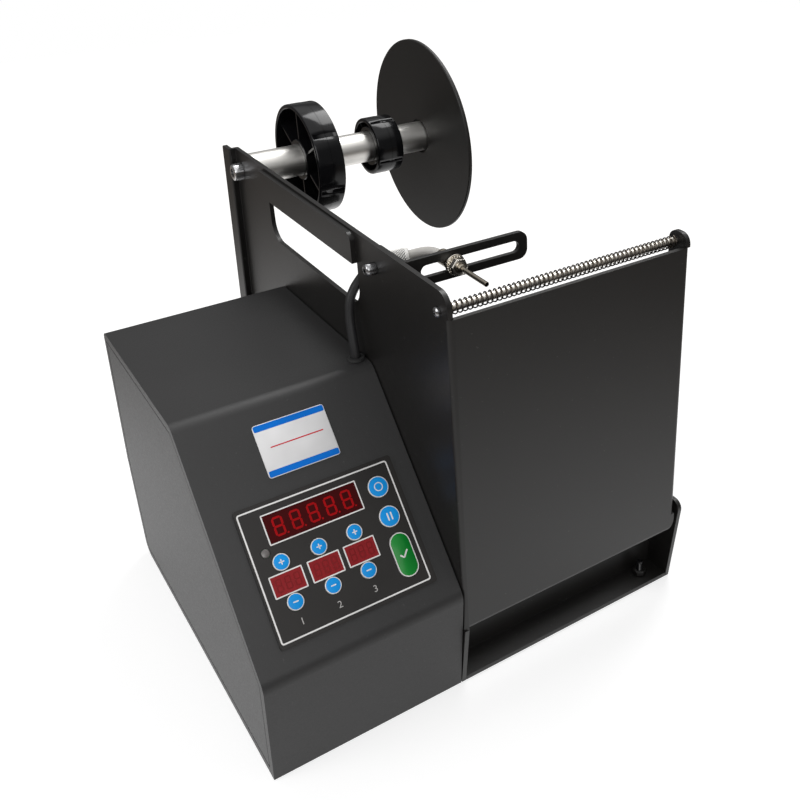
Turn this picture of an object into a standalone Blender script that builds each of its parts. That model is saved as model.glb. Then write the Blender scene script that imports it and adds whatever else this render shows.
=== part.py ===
"""Label dispenser machine, built as separate pieces (metres, +Z up).

X runs along the roll shaft, Y runs back from the front edge and Z is up. Sizes are set out from
the outer face of the side plate (x = 0) and from the foot of its front edge (y = 0). The whole
machine is then moved so that the origin lies under the middle of its outer box.
"""

import math

import bmesh
import bpy
from mathutils import Matrix, Vector

# Common values
SHEET = 0.0025
THIN_SHEET = 0.0015
GAP = 0.0003
OVERRUN = 0.004
FUSE = 0.0005
ROUND_STEPS = 48
SMALL_STEPS = 18
FINE_STEPS = 12
ARC_STEPS = 6

# Side plate
PLATE_HEIGHT = 0.230
REAR_RISE = 0.0015
PLATE_FRONT_Y = -0.0065
PLATE_TOP_FRONT_Y = -0.0058
PLATE_TOP_CORNER = 0.008
PLATE_KNEE_Z = 0.040
SHAFT_Y = 0.2427
SHAFT_TOP_MARGIN = 0.0113
SHAFT_Z = PLATE_HEIGHT - SHAFT_TOP_MARGIN
SHAFT_REAR_MARGIN = 0.0184
REAR_TOP_Y = SHAFT_Y + SHAFT_REAR_MARGIN
REAR_LEAN = 0.0199
REAR_FOOT_Y = REAR_TOP_Y + REAR_LEAN
LIP_WIDTH = 0.0117
LIP_OUTSET = 0.0041
LIP_CORNER = 0.0015

# Hand window in the side plate and the flap folded up from it
WINDOW_FRONT_Y = 0.0846
WINDOW_SHAFT_MARGIN = 0.0412
WINDOW_REAR_Y = SHAFT_Y - WINDOW_SHAFT_MARGIN
WINDOW_TOP_BAND = 0.0164
WINDOW_HIGH_Z = PLATE_HEIGHT - WINDOW_TOP_BAND
WINDOW_HEIGHT = 0.0254
WINDOW_LOW_Z = WINDOW_HIGH_Z - WINDOW_HEIGHT
WINDOW_CORNER = 0.011
RELIEF_LENGTH = 0.0050
RELIEF_WIDTH = 0.0013
FLAP_OUTSET = 0.0027
FLAP_OVERHANG = 0.0041
FLAP_REAR_Y = WINDOW_REAR_Y + FLAP_OVERHANG
FLAP_CORNER = 0.0045
FLAP_TOP_DROP = 0.0004

# Front plate, bent from the side plate, with its right flange and ear
FRONT_WIDTH = 0.1410
FRONT_LOW_Z = 0.0400
FRONT_TOP_DROP = 0.0120
FRONT_HIGH_Z = PLATE_HEIGHT - FRONT_TOP_DROP
FRONT_CORNER = 0.008
BEND_RADIUS = 0.003
FLANGE_LOW_Z = 0.0520
FLANGE_DEPTH = 0.0135
EAR_RISE = 0.0070
EAR_TOP_Z = FRONT_HIGH_Z + EAR_RISE
EAR_CORNER = 0.0055
RETURN_DEPTH = 0.0140
RETURN_RADIUS = 0.0035

# Base tray
TRAY_RIGHT_X = 0.1455
TRAY_REAR_DROP = 0.0160
TRAY_REAR_Y = REAR_FOOT_Y - TRAY_REAR_DROP
WALL_HEIGHT = 0.0585
WALL_FRONT_Y = -0.0085
WALL_REAR_Y = 0.0760
WALL_CORNER = 0.005
UPSTAND_HEIGHT = 0.0120
INNER_WALL_Y = 0.0162
INNER_WALL_HEIGHT = 0.0300
TRAY_STUD_X = 0.1300
TRAY_STUD_Y = 0.0090
TRAY_STUD_RADIUS = 0.0020
TRAY_STUD_HEIGHT = 0.0090
TRAY_NUT_FLATS = 0.0070
TRAY_NUT_HEIGHT = 0.0032

# Electronics box
BOX_LEFT_X = -0.1050
BOX_RIGHT_X = -0.0005
BOX_TOP_Z = 0.1600
BOX_BEND_Y = -0.0075
BOX_BEND_Z = 0.0645
BOX_TOP_Y = 0.0765
BOX_REAR_Y = 0.2080
BOX_REAR_KNEE_Z = 0.0700
BOX_REAR_LEAN = 0.0120
BOX_CORNER = 0.0050
BOX_BEND_RADIUS = 0.0090
BOX_REAR_CORNER = 0.0080
BOX_EDGE = 0.0025
SEAM_INSET = 0.0045
SEAM = 0.0006
FLOOR_PAN = 0.0015

# Control panel, measured up the slope from the lower bend of the box
PAD_LEFT_X = -0.0920
PAD_RIGHT_X = -0.0105
PAD_LOW = 0.0126
PAD_HIGH = 0.0795
PAD_CORNER = 0.0015
PAD_THICK = 0.0011
PAD_MARGIN = 0.0040
BADGE_LEFT_X = -0.0700
BADGE_RIGHT_X = -0.0331
BADGE_LOW = 0.0883
BADGE_HIGH = 0.1150
BADGE_THICK = 0.0005
BADGE_CORNER = 0.0010
COUNTER_SIZE = (0.0478, 0.0140)
COUNTER_PLACE = (-0.0564, 0.0661)
SMALL_SIZE = (0.0154, 0.0098)
COLUMN_X = (-0.0785, -0.0596, -0.0411)
SMALL_V = 0.0402
LENS_RAISE = 0.0002
LENS_CORNER = 0.0004
UP_V = 0.0501
DOWN_V = 0.0307
KEY_RADIUS = 0.0040
BIG_KEY_RADIUS = 0.0053
BIG_KEY_X = -0.0218
RESET_V = 0.0663
PAUSE_V = 0.0507
CONFIRM_V = 0.0308
CONFIRM_LENGTH = 0.0222
KEY_RAISE = 0.0006
KEY_DEPTH = 0.0022
KEY_TRAVEL = 0.0008
KEY_CROWN = 0.0004
SENSOR_EYE_X = -0.0839
SENSOR_EYE_V = 0.0563
SENSOR_EYE_RADIUS = 0.0020
BOARD_THICK = 0.0016
BOARD_DROP = 0.0050
SWITCH_SIZE = 0.0060

# Roll shaft
TUBE_RADIUS = 0.00985
TUBE_BORE = 0.0070
TUBE_RIGHT_X = 0.1400
TUBE_PLUG = 0.0200
BOLT_RADIUS = 0.0030
BOLT_HEAD_RADIUS = 0.0050
BOLT_HEAD_HEIGHT = 0.0060
BOLT_GRIP = 0.0120
SOCKET_FLATS = 0.0050
SOCKET_DEPTH = 0.0030
END_CAP_FLANGE = 0.0020
END_CAP_DEPTH = 0.0060
RUNNING_GAP = 0.0003

# Core wheels and guard disc on the shaft
BIG_WHEEL_X = 0.0357
BIG_WHEEL_WIDTH = 0.0174
BIG_WHEEL_RADIUS = 0.0350
SMALL_WHEEL_X = 0.0841
SMALL_WHEEL_WIDTH = 0.0181
SMALL_WHEEL_RADIUS = 0.0184
RIM_THICK = 0.0026
HUB_THICK = 0.0028
WEB_THICK = 0.0025
RIB_THICK = 0.0020
RIB_DROP = 0.0015
BIG_RIBS = 6
SMALL_RIBS = 4
DISC_X = 0.1240
DISC_THICK = 0.0025
DISC_RADIUS = 0.0637
DISC_HUB_RADIUS = 0.0125
DISC_HUB_LENGTH = 0.0100
SET_SCREW_RADIUS = 0.0016
SET_SCREW_PROUD = 0.0010
SET_SCREW_ANGLE = -40.0

# Sensor bracket
ARM_Y = 0.0400
ARM_LENGTH = 0.0704
ARM_TOP_DROP = 0.0016
ARM_HIGH_Z = PLATE_HEIGHT - ARM_TOP_DROP
ARM_HEIGHT = 0.0147
ARM_LOW_Z = ARM_HIGH_Z - ARM_HEIGHT
ARM_CORNER = 0.0050
SLOT_START_X = 0.0124
SLOT_END_MARGIN = 0.0051
SLOT_END_X = SHEET + GAP + ARM_LENGTH - SLOT_END_MARGIN
SLOT_WIDTH = 0.0062
BRACKET_BOLT_Y = 0.0637
BRACKET_BOLT_DROP = 0.0117
BRACKET_BOLT_Z = PLATE_HEIGHT - BRACKET_BOLT_DROP
LEG_REAR_Y = 0.0727
LEG_DROP = 0.0044
LEG_LOW_Z = ARM_LOW_Z - LEG_DROP
LEG_CORNER = 0.0080
BRACKET_BOLT_RADIUS = 0.0025
BRACKET_HEAD_RADIUS = 0.0032
BRACKET_HEAD_HEIGHT = 0.0057
BRACKET_NUT_FLATS = 0.0080
BRACKET_NUT_HEIGHT = 0.0026

# Photoelectric sensor in the slot
SENSOR_X = 0.0305
SENSOR_RADIUS = 0.0028
SENSOR_REAR_Y = 0.0520
SENSOR_BODY_RADIUS = 0.0040
NUT_FLATS = 0.0080
NUT_THICK = 0.0040
WASHER_RADIUS = 0.0055
WASHER_THICK = 0.0010
WASHER_TEETH = 10
WASHER_TOOTH = 0.0010
COLLAR_RADIUS = 0.0024
COLLAR_LENGTH = 0.0030
TIP_RADIUS = 0.0013
TIP_FRONT_Y = 0.0107

# Leads, their sleeve and the grommet in the box top
LEAD_RADIUS = 0.00235
BLACK_LEAD_RADIUS = 0.0025
SLEEVE_RADIUS = 0.0042
SLEEVE_END_RADIUS = 0.0034
SLEEVE_START = (0.0205, 0.0671, 0.2188)
SLEEVE_END = (0.0105, 0.0721, 0.2168)
GROMMET_X = -0.0055
GROMMET_Y = 0.0850
GROMMET_RADIUS = 0.0048
GROMMET_COLLAR = 0.0012
GREY_ROUTE = (
    (0.0305, 0.0523, 0.2211), (0.0303, 0.0561, 0.2211), (0.0291, 0.0597, 0.2210),
    (0.0269, 0.0629, 0.2205), (0.0240, 0.0652, 0.2197), (0.0205, 0.0671, 0.2188),
    (0.0155, 0.0696, 0.2178), (0.0108, 0.07195, 0.21686),
)
BLACK_ROUTE = (
    (0.0102, 0.07225, 0.21674), (0.00821, 0.07354, 0.21610), (0.00668, 0.07520, 0.21505),
    (0.0057, 0.07715, 0.21375), (0.0054, 0.0793, 0.2122), (0.0054, 0.0822, 0.2101),
    (0.0053, 0.0849, 0.2077), (0.0043, 0.0876, 0.2047), (0.0023, 0.0898, 0.2009),
    (-0.0004, 0.0911, 0.1962), (-0.0030, 0.0911, 0.1905), (-0.0046, 0.0895, 0.1816),
    (-0.0053, 0.0870, 0.1724), (-0.0055, 0.0852, 0.1648), (-0.0055, 0.0850, 0.1592),
)

# Spring-covered guide rod
ROD_Y = 0.0025
ROD_RISE = 0.0014
ROD_Z = FRONT_HIGH_Z + ROD_RISE
ROD_RADIUS = 0.0020
ROD_SCREW_RADIUS = 0.0013
ROD_SCREW_HEAD_RADIUS = 0.0025
ROD_SCREW_HEAD_HEIGHT = 0.0022
ROD_SCREW_DEPTH = 0.0080
SPRING_COIL_RADIUS = 0.0029
SPRING_WIRE_RADIUS = 0.0003
SPRING_TURNS = 51
SPRING_POINTS_PER_TURN = 8
SPRING_END_GAP = 0.0010
SPRING_DROP = 0.0003

# Drive: roller, gears, motor and pinch roller
DRIVE_Y = 0.0340
DRIVE_Z = 0.0460
DRIVE_RADIUS = 0.0120
DRIVE_SHAFT_RADIUS = 0.0040
DRIVE_ROLLER_START_X = 0.0100
DRIVE_ROLLER_END_X = 0.1340
GEAR_TEETH = 32
PINION_TEETH = 16
GEAR_MODULE = 0.0010
GEAR_WIDTH = 0.0060
GEAR_X = -0.0110
GEAR_SLACK = 0.0004
MOTOR_ANGLE = 30.0
MOTOR_SIZE = 0.0420
MOTOR_LENGTH = 0.0480
MOTOR_CHAMFER = 0.0040
MOTOR_SHAFT_RADIUS = 0.0025
MOTOR_BOSS_RADIUS = 0.0110
MOTOR_BOSS = 0.0020
MOTOR_PLATE = 0.0020
MOTOR_PLATE_SIZE = 0.0560
MOTOR_POST_RADIUS = 0.0030
PINCH_RADIUS = 0.0080
PINCH_ANGLE = -25.0
PINCH_AXLE_RADIUS = 0.0025
FORK_Y = 0.0580
FORK_Z = 0.0190
FORK_ROD_RADIUS = 0.0030
FORK_ARM_THICK = 0.0030
FORK_ARM_RADIUS = 0.0055
FORK_START_X = 0.0060
FORK_END_X = 0.1395
PINCH_ROLLER_INSET = 0.0020

# Power parts in and on the box
REAR_PARTS_Z = 0.0420
INLET_X = -0.0760
INLET_SIZE = (0.0276, 0.0200)
INLET_FLANGE = 0.0040
INLET_FLANGE_THICK = 0.0020
INLET_DEPTH = 0.0180
INLET_WELL = 0.0140
INLET_WALL = 0.0020
PIN_SIZE = (0.0020, 0.0050)
PIN_PITCH = 0.0070
ROCKER_X = -0.0300
ROCKER_SIZE = (0.0130, 0.0200)
ROCKER_FRAME = 0.0020
ROCKER_TILT = 12.0
ROCKER_FRAME_DEPTH = 0.0140
FUSE_X = -0.0495
FUSE_RADIUS = 0.0060
FUSE_CAP_RADIUS = 0.0070
FUSE_DEPTH = 0.0180
FUSE_CAP_HEIGHT = 0.0050
SUPPLY_SIZE = (0.0500, 0.0800, 0.0300)
SUPPLY_PLACE = (-0.0580, 0.1350)
SUPPLY_EDGE = 0.0010
TERMINAL_SIZE = (0.0400, 0.0080, 0.0100)

BOX_MID_X = (BOX_LEFT_X + TRAY_RIGHT_X) / 2.0
BOX_MID_Y = 0.1494

SIDE = Matrix(((0, 0, 1, 0), (1, 0, 0, 0), (0, 1, 0, 0), (0, 0, 0, 1)))
FRONT = Matrix(((1, 0, 0, 0), (0, 0, -1, 0), (0, 1, 0, 0), (0, 0, 0, 1)))
FLAT = Matrix.Identity(4)
ALONG_X = Matrix.Rotation(math.radians(90.0), 4, "Y")
ALONG_BACK = Matrix.Rotation(math.radians(-90.0), 4, "X")


def clear_scene():
    """Remove every object that the file starts with."""
    for item in list(bpy.data.objects):
        bpy.data.objects.remove(item, do_unlink=True)


def new_collection(name):
    """Make a collection under the scene."""
    collection = bpy.data.collections.new(name)
    bpy.context.scene.collection.children.link(collection)
    return collection


def finish(name, colour, roughness, metallic=0.0):
    """Make a Principled material."""
    material = bpy.data.materials.new(name)
    material.use_nodes = True
    shader = material.node_tree.nodes["Principled BSDF"]
    shader.inputs["Base Color"].default_value = (*colour, 1.0)
    shader.inputs["Roughness"].default_value = roughness
    shader.inputs["Metallic"].default_value = metallic
    return material


clear_scene()
MACHINE = new_collection("label_dispenser")
CUTTERS = new_collection("cutters")
POWDER = finish("black_powder_coat", (0.028, 0.027, 0.026), 0.42)
CHARCOAL = finish("charcoal_texture", (0.085, 0.085, 0.090), 0.55)
ALUMINIUM = finish("satin_aluminium", (0.62, 0.59, 0.55), 0.30, 1.0)
CHROME = finish("bright_chrome", (0.75, 0.75, 0.76), 0.15, 1.0)
NICKEL = finish("nickel", (0.62, 0.58, 0.50), 0.22, 1.0)
STEEL = finish("dark_spring_steel", (0.10, 0.09, 0.08), 0.40, 1.0)
PLASTIC = finish("black_plastic", (0.015, 0.015, 0.016), 0.25)
RUBBER = finish("rubber", (0.020, 0.020, 0.020), 0.80)
FILM = finish("keypad_film", (0.045, 0.043, 0.042), 0.45)
BLUE = finish("blue_key", (0.070, 0.330, 0.780), 0.40)
GREEN = finish("green_key", (0.010, 0.290, 0.050), 0.40)
RED = finish("red_display", (0.300, 0.012, 0.014), 0.20)
WHITE = finish("badge_white", (0.780, 0.780, 0.780), 0.35)
GREY = finish("grey_lead", (0.560, 0.560, 0.560), 0.50)
BLACK_LEAD = finish("black_lead", (0.020, 0.020, 0.020), 0.50)
BOARD = finish("board_green", (0.020, 0.160, 0.070), 0.50)
MOTOR_CAN = finish("motor_can", (0.250, 0.250, 0.260), 0.40, 1.0)


def put(name, mesh, place, material):
    """Make a named object of the machine from a mesh."""
    item = bpy.data.objects.new(name, mesh)
    item.matrix_world = place
    mesh.materials.clear()
    mesh.materials.append(material)
    MACHINE.objects.link(item)
    return item


def as_tool(item):
    """Turn an object into a hidden cutter."""
    for collection in list(item.users_collection):
        collection.objects.unlink(item)
    CUTTERS.objects.link(item)
    item.hide_render = True
    item.display_type = "WIRE"
    return item


def combine(item, tool, operation):
    """Cut a tool out of an object, or join it on, with an exact Boolean."""
    as_tool(tool)
    step = item.modifiers.new(operation.lower() + "_" + tool.name, "BOOLEAN")
    step.operation = operation
    step.object = tool
    step.solver = "EXACT"
    return item


def cut(item, *tools):
    """Cut every tool out of an object."""
    for tool in tools:
        combine(item, tool, "DIFFERENCE")
    return item


def join(item, *tools):
    """Join every tool onto an object."""
    for tool in tools:
        combine(item, tool, "UNION")
    return item


def smooth(item, angle=35.0):
    """Shade an object's round faces smooth."""
    item.data.shade_smooth()
    item.data.set_sharp_from_angle(angle=math.radians(angle))
    return item


def arc(centre_u, centre_v, radius, start, end, steps=ARC_STEPS):
    """Points on an arc, with its angles in degrees."""
    points = []
    for index in range(steps + 1):
        angle = math.radians(start + (end - start) * index / steps)
        points.append((centre_u + radius * math.cos(angle), centre_v + radius * math.sin(angle)))
    return points


def rounded(corners, steps=ARC_STEPS):
    """Outline through corners given as (u, v, radius), with each corner rounded."""
    outline = []
    count = len(corners)
    for index, (u, v, radius) in enumerate(corners):
        here = Vector((u, v))
        if radius <= 0.0:
            outline.append((u, v))
            continue
        before = Vector(corners[index - 1][:2]) - here
        after = Vector(corners[(index + 1) % count][:2]) - here
        half = before.angle(after) / 2.0
        reach = radius / math.tan(half)
        first = here + before.normalized() * reach
        last = here + after.normalized() * reach
        middle = here + (before.normalized() + after.normalized()).normalized() * radius / math.sin(half)
        begin = math.degrees(math.atan2(first.y - middle.y, first.x - middle.x))
        end = math.degrees(math.atan2(last.y - middle.y, last.x - middle.x))
        sweep = (end - begin + 180.0) % 360.0 - 180.0
        outline += arc(middle.x, middle.y, radius, begin, begin + sweep, steps)
    return outline


def box_outline(low_u, low_v, high_u, high_v, radius=0.0):
    """Rectangle with equal corner radii."""
    corners = ((low_u, low_v), (high_u, low_v), (high_u, high_v), (low_u, high_v))
    return rounded([(u, v, radius) for u, v in corners])


def slab(name, loops, start, end, plane, material=POWDER):
    """Solid between two heights over a flat outline, with its inner loops as holes."""
    curve = bpy.data.curves.new(name, "CURVE")
    curve.dimensions = "2D"
    curve.fill_mode = "BOTH"
    curve.extrude = abs(end - start) / 2.0
    for loop in loops:
        spline = curve.splines.new("POLY")
        spline.points.add(len(loop) - 1)
        for point, (u, v) in zip(spline.points, loop):
            point.co = (u, v, 0.0, 1.0)
        spline.use_cyclic_u = True
    item = bpy.data.objects.new(name, curve)
    item.matrix_world = plane @ Matrix.Translation((0.0, 0.0, (start + end) / 2.0))
    bpy.context.scene.collection.objects.link(item)
    return solid_from_curve(item, material)


def solid_from_curve(item, material):
    """Replace a curve object with a welded mesh object of the same name and place."""
    bpy.context.view_layer.update()
    view = bpy.context.evaluated_depsgraph_get()
    mesh = bpy.data.meshes.new_from_object(item.evaluated_get(view))
    shape = bmesh.new()
    shape.from_mesh(mesh)
    bmesh.ops.remove_doubles(shape, verts=shape.verts, dist=GAP / 100.0)
    shape.to_mesh(mesh)
    shape.free()
    name, place = item.name, item.matrix_world.copy()
    bpy.data.objects.remove(item, do_unlink=True)
    return put(name, mesh, place, material)


def rod(name, radius, start, end, axis, centre, steps=SMALL_STEPS, material=CHROME, tip=None):
    """Cylinder or cone along an axis frame, from start to end, about a centre."""
    shape = bmesh.new()
    top = radius if tip is None else tip
    bmesh.ops.create_cone(shape, cap_ends=True, segments=steps, radius1=radius, radius2=top,
                          depth=end - start)
    mesh = bpy.data.meshes.new(name)
    shape.to_mesh(mesh)
    shape.free()
    mesh.transform(Matrix.Translation((0.0, 0.0, (start + end) / 2.0)))
    return smooth(put(name, mesh, Matrix.Translation(centre) @ axis, material))


def block(name, size, centre, plane=FLAT, material=POWDER, edge=0.0):
    """Box of a size about a centre in a plane's own coordinates."""
    shape = bmesh.new()
    bmesh.ops.create_cube(shape, size=1.0, matrix=Matrix.Diagonal((*size, 1.0)))
    if edge > 0.0:
        bmesh.ops.bevel(shape, geom=shape.edges[:], offset=edge, segments=1, affect="EDGES")
    mesh = bpy.data.meshes.new(name)
    shape.to_mesh(mesh)
    shape.free()
    return put(name, mesh, plane @ Matrix.Translation(centre), material)


def turned(name, profile, axis, centre, material, steps=ROUND_STEPS, closed=True):
    """Turned shape from (radius, height) points that run down its outer side."""
    mesh = bpy.data.meshes.new(name)
    points = [(radius, 0.0, height) for radius, height in profile]
    edges = [(index, index + 1) for index in range(len(points) - 1)]
    if closed:
        edges.append((len(points) - 1, 0))
    mesh.from_pydata(points, edges, [])
    item = put(name, mesh, Matrix.Translation(centre) @ axis, material)
    turn = item.modifiers.new("turn", "SCREW")
    turn.axis = "Z"
    turn.angle = math.tau
    turn.screw_offset = 0.0
    turn.steps = steps
    turn.render_steps = steps
    turn.use_merge_vertices = True
    turn.merge_threshold = GAP / 10.0
    turn.use_smooth_shade = True
    return item


def hexagon(flats):
    """Hexagon outline across flats."""
    return arc(0.0, 0.0, flats / math.sqrt(3.0), 0.0, 300.0, 5)


def circle(radius, steps=SMALL_STEPS, u=0.0, v=0.0):
    """Circle outline."""
    return arc(u, v, radius, 0.0, 360.0 - 360.0 / steps, steps - 1)


def wire(name, points, radius, material, resolution=2):
    """Tube of a radius through points, with its ends filled."""
    curve = bpy.data.curves.new(name, "CURVE")
    curve.dimensions = "3D"
    curve.bevel_depth = radius
    curve.bevel_resolution = resolution
    curve.use_fill_caps = True
    spline = curve.splines.new("POLY")
    spline.points.add(len(points) - 1)
    for point, place in zip(spline.points, points):
        point.co = (*place, 1.0)
    item = bpy.data.objects.new(name, curve)
    bpy.context.scene.collection.objects.link(item)
    return smooth(solid_from_curve(item, material))


def smooth_route(points, spacing):
    """Even points on a smooth curve through the route's own points."""
    ends = [Vector(points[0]) * 2.0 - Vector(points[1])] + [Vector(point) for point in points]
    ends.append(ends[-1] * 2.0 - ends[-2])
    fine = []
    samples = 24
    for index in range(1, len(ends) - 2):
        before, start, stop, after = ends[index - 1:index + 3]
        for step in range(samples):
            t = step / samples
            place = (start * 2.0 + (stop - before) * t
                     + (before * 2.0 - start * 5.0 + stop * 4.0 - after) * t * t
                     + (start * 3.0 - before - stop * 3.0 + after) * t * t * t) / 2.0
            fine.append(place)
    fine.append(ends[-2])
    length = sum((fine[index + 1] - fine[index]).length for index in range(len(fine) - 1))
    count = max(2, round(length / spacing))
    even, travelled, target = [fine[0]], 0.0, length / count
    for index in range(len(fine) - 1):
        stretch = (fine[index + 1] - fine[index]).length
        while travelled + stretch >= target and len(even) < count:
            share = (target - travelled) / stretch
            even.append(fine[index].lerp(fine[index + 1], share))
            target += length / count
        travelled += stretch
    even.append(fine[-1])
    return even, length


def inset(corners, distance):
    """Corners of an outline, run counter-clockwise, moved inwards by a distance."""
    moved = []
    count = len(corners)
    for index, (u, v, radius) in enumerate(corners):
        here = Vector((u, v))
        before = (here - Vector(corners[index - 1][:2])).normalized()
        after = (Vector(corners[(index + 1) % count][:2]) - here).normalized()
        first = Vector((-before.y, before.x))
        second = Vector((-after.y, after.x))
        shift = (first + second) * (distance / (1.0 + first.dot(second)))
        moved.append((u + shift.x, v + shift.y, max(radius - distance, 0.0)))
    return moved


def front_slab(name, loops, near_y, far_y, material=POWDER):
    """Upright sheet that faces the front, between two depths."""
    return slab(name, loops, -far_y, -near_y, FRONT, material)


def blocks(name, boxes, plane=FLAT, material=POWDER):
    """One mesh of separate boxes, each given as (low corner, high corner)."""
    shape = bmesh.new()
    for low, high in boxes:
        low, high = Vector(low), Vector(high)
        size, middle = high - low, (low + high) / 2.0
        place = Matrix.Translation(middle) @ Matrix.Diagonal((*size, 1.0))
        bmesh.ops.create_cube(shape, size=1.0, matrix=place)
    mesh = bpy.data.meshes.new(name)
    shape.to_mesh(mesh)
    shape.free()
    return put(name, mesh, plane.copy(), material)


def bend_cutter(name, plane, corner, inward, radius, start, end):
    """Tool that rounds one long outer corner: inward gives the material's side in u and v."""
    u, v = corner
    side_u, side_v = inward
    centre = (u + side_u * radius, v + side_v * radius)
    outline = [(u - side_u * OVERRUN, v - side_v * OVERRUN), (centre[0], v - side_v * OVERRUN)]
    for point_u, point_v in arc(0.0, 0.0, radius, 0.0, 90.0):
        outline.append((centre[0] - side_u * point_v, centre[1] - side_v * point_u))
    outline.append((u - side_u * OVERRUN, centre[1]))
    return slab(name, [outline], start, end, plane)


def origin_at(item, point):
    """Move an object's origin to a point without moving its mesh."""
    local = item.matrix_world.inverted() @ Vector(point)
    item.data.transform(Matrix.Translation(-local))
    item.matrix_world = item.matrix_world @ Matrix.Translation(local)
    return item


def pinch_centre():
    """Axis of the pinch roller, one running gap off the drive roller."""
    reach = DRIVE_RADIUS + PINCH_RADIUS + GAP
    angle = math.radians(PINCH_ANGLE)
    return DRIVE_Y + reach * math.cos(angle), DRIVE_Z + reach * math.sin(angle)


def motor_centre():
    """Axis of the motor, at the gears' centre distance from the drive shaft."""
    reach = GEAR_MODULE * (GEAR_TEETH + PINION_TEETH) / 2.0
    angle = math.radians(MOTOR_ANGLE)
    return DRIVE_Y + reach * math.cos(angle), DRIVE_Z + reach * math.sin(angle)


def slot_height():
    """Height of the bracket's slot."""
    return (ARM_LOW_Z + ARM_HIGH_Z) / 2.0


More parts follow.
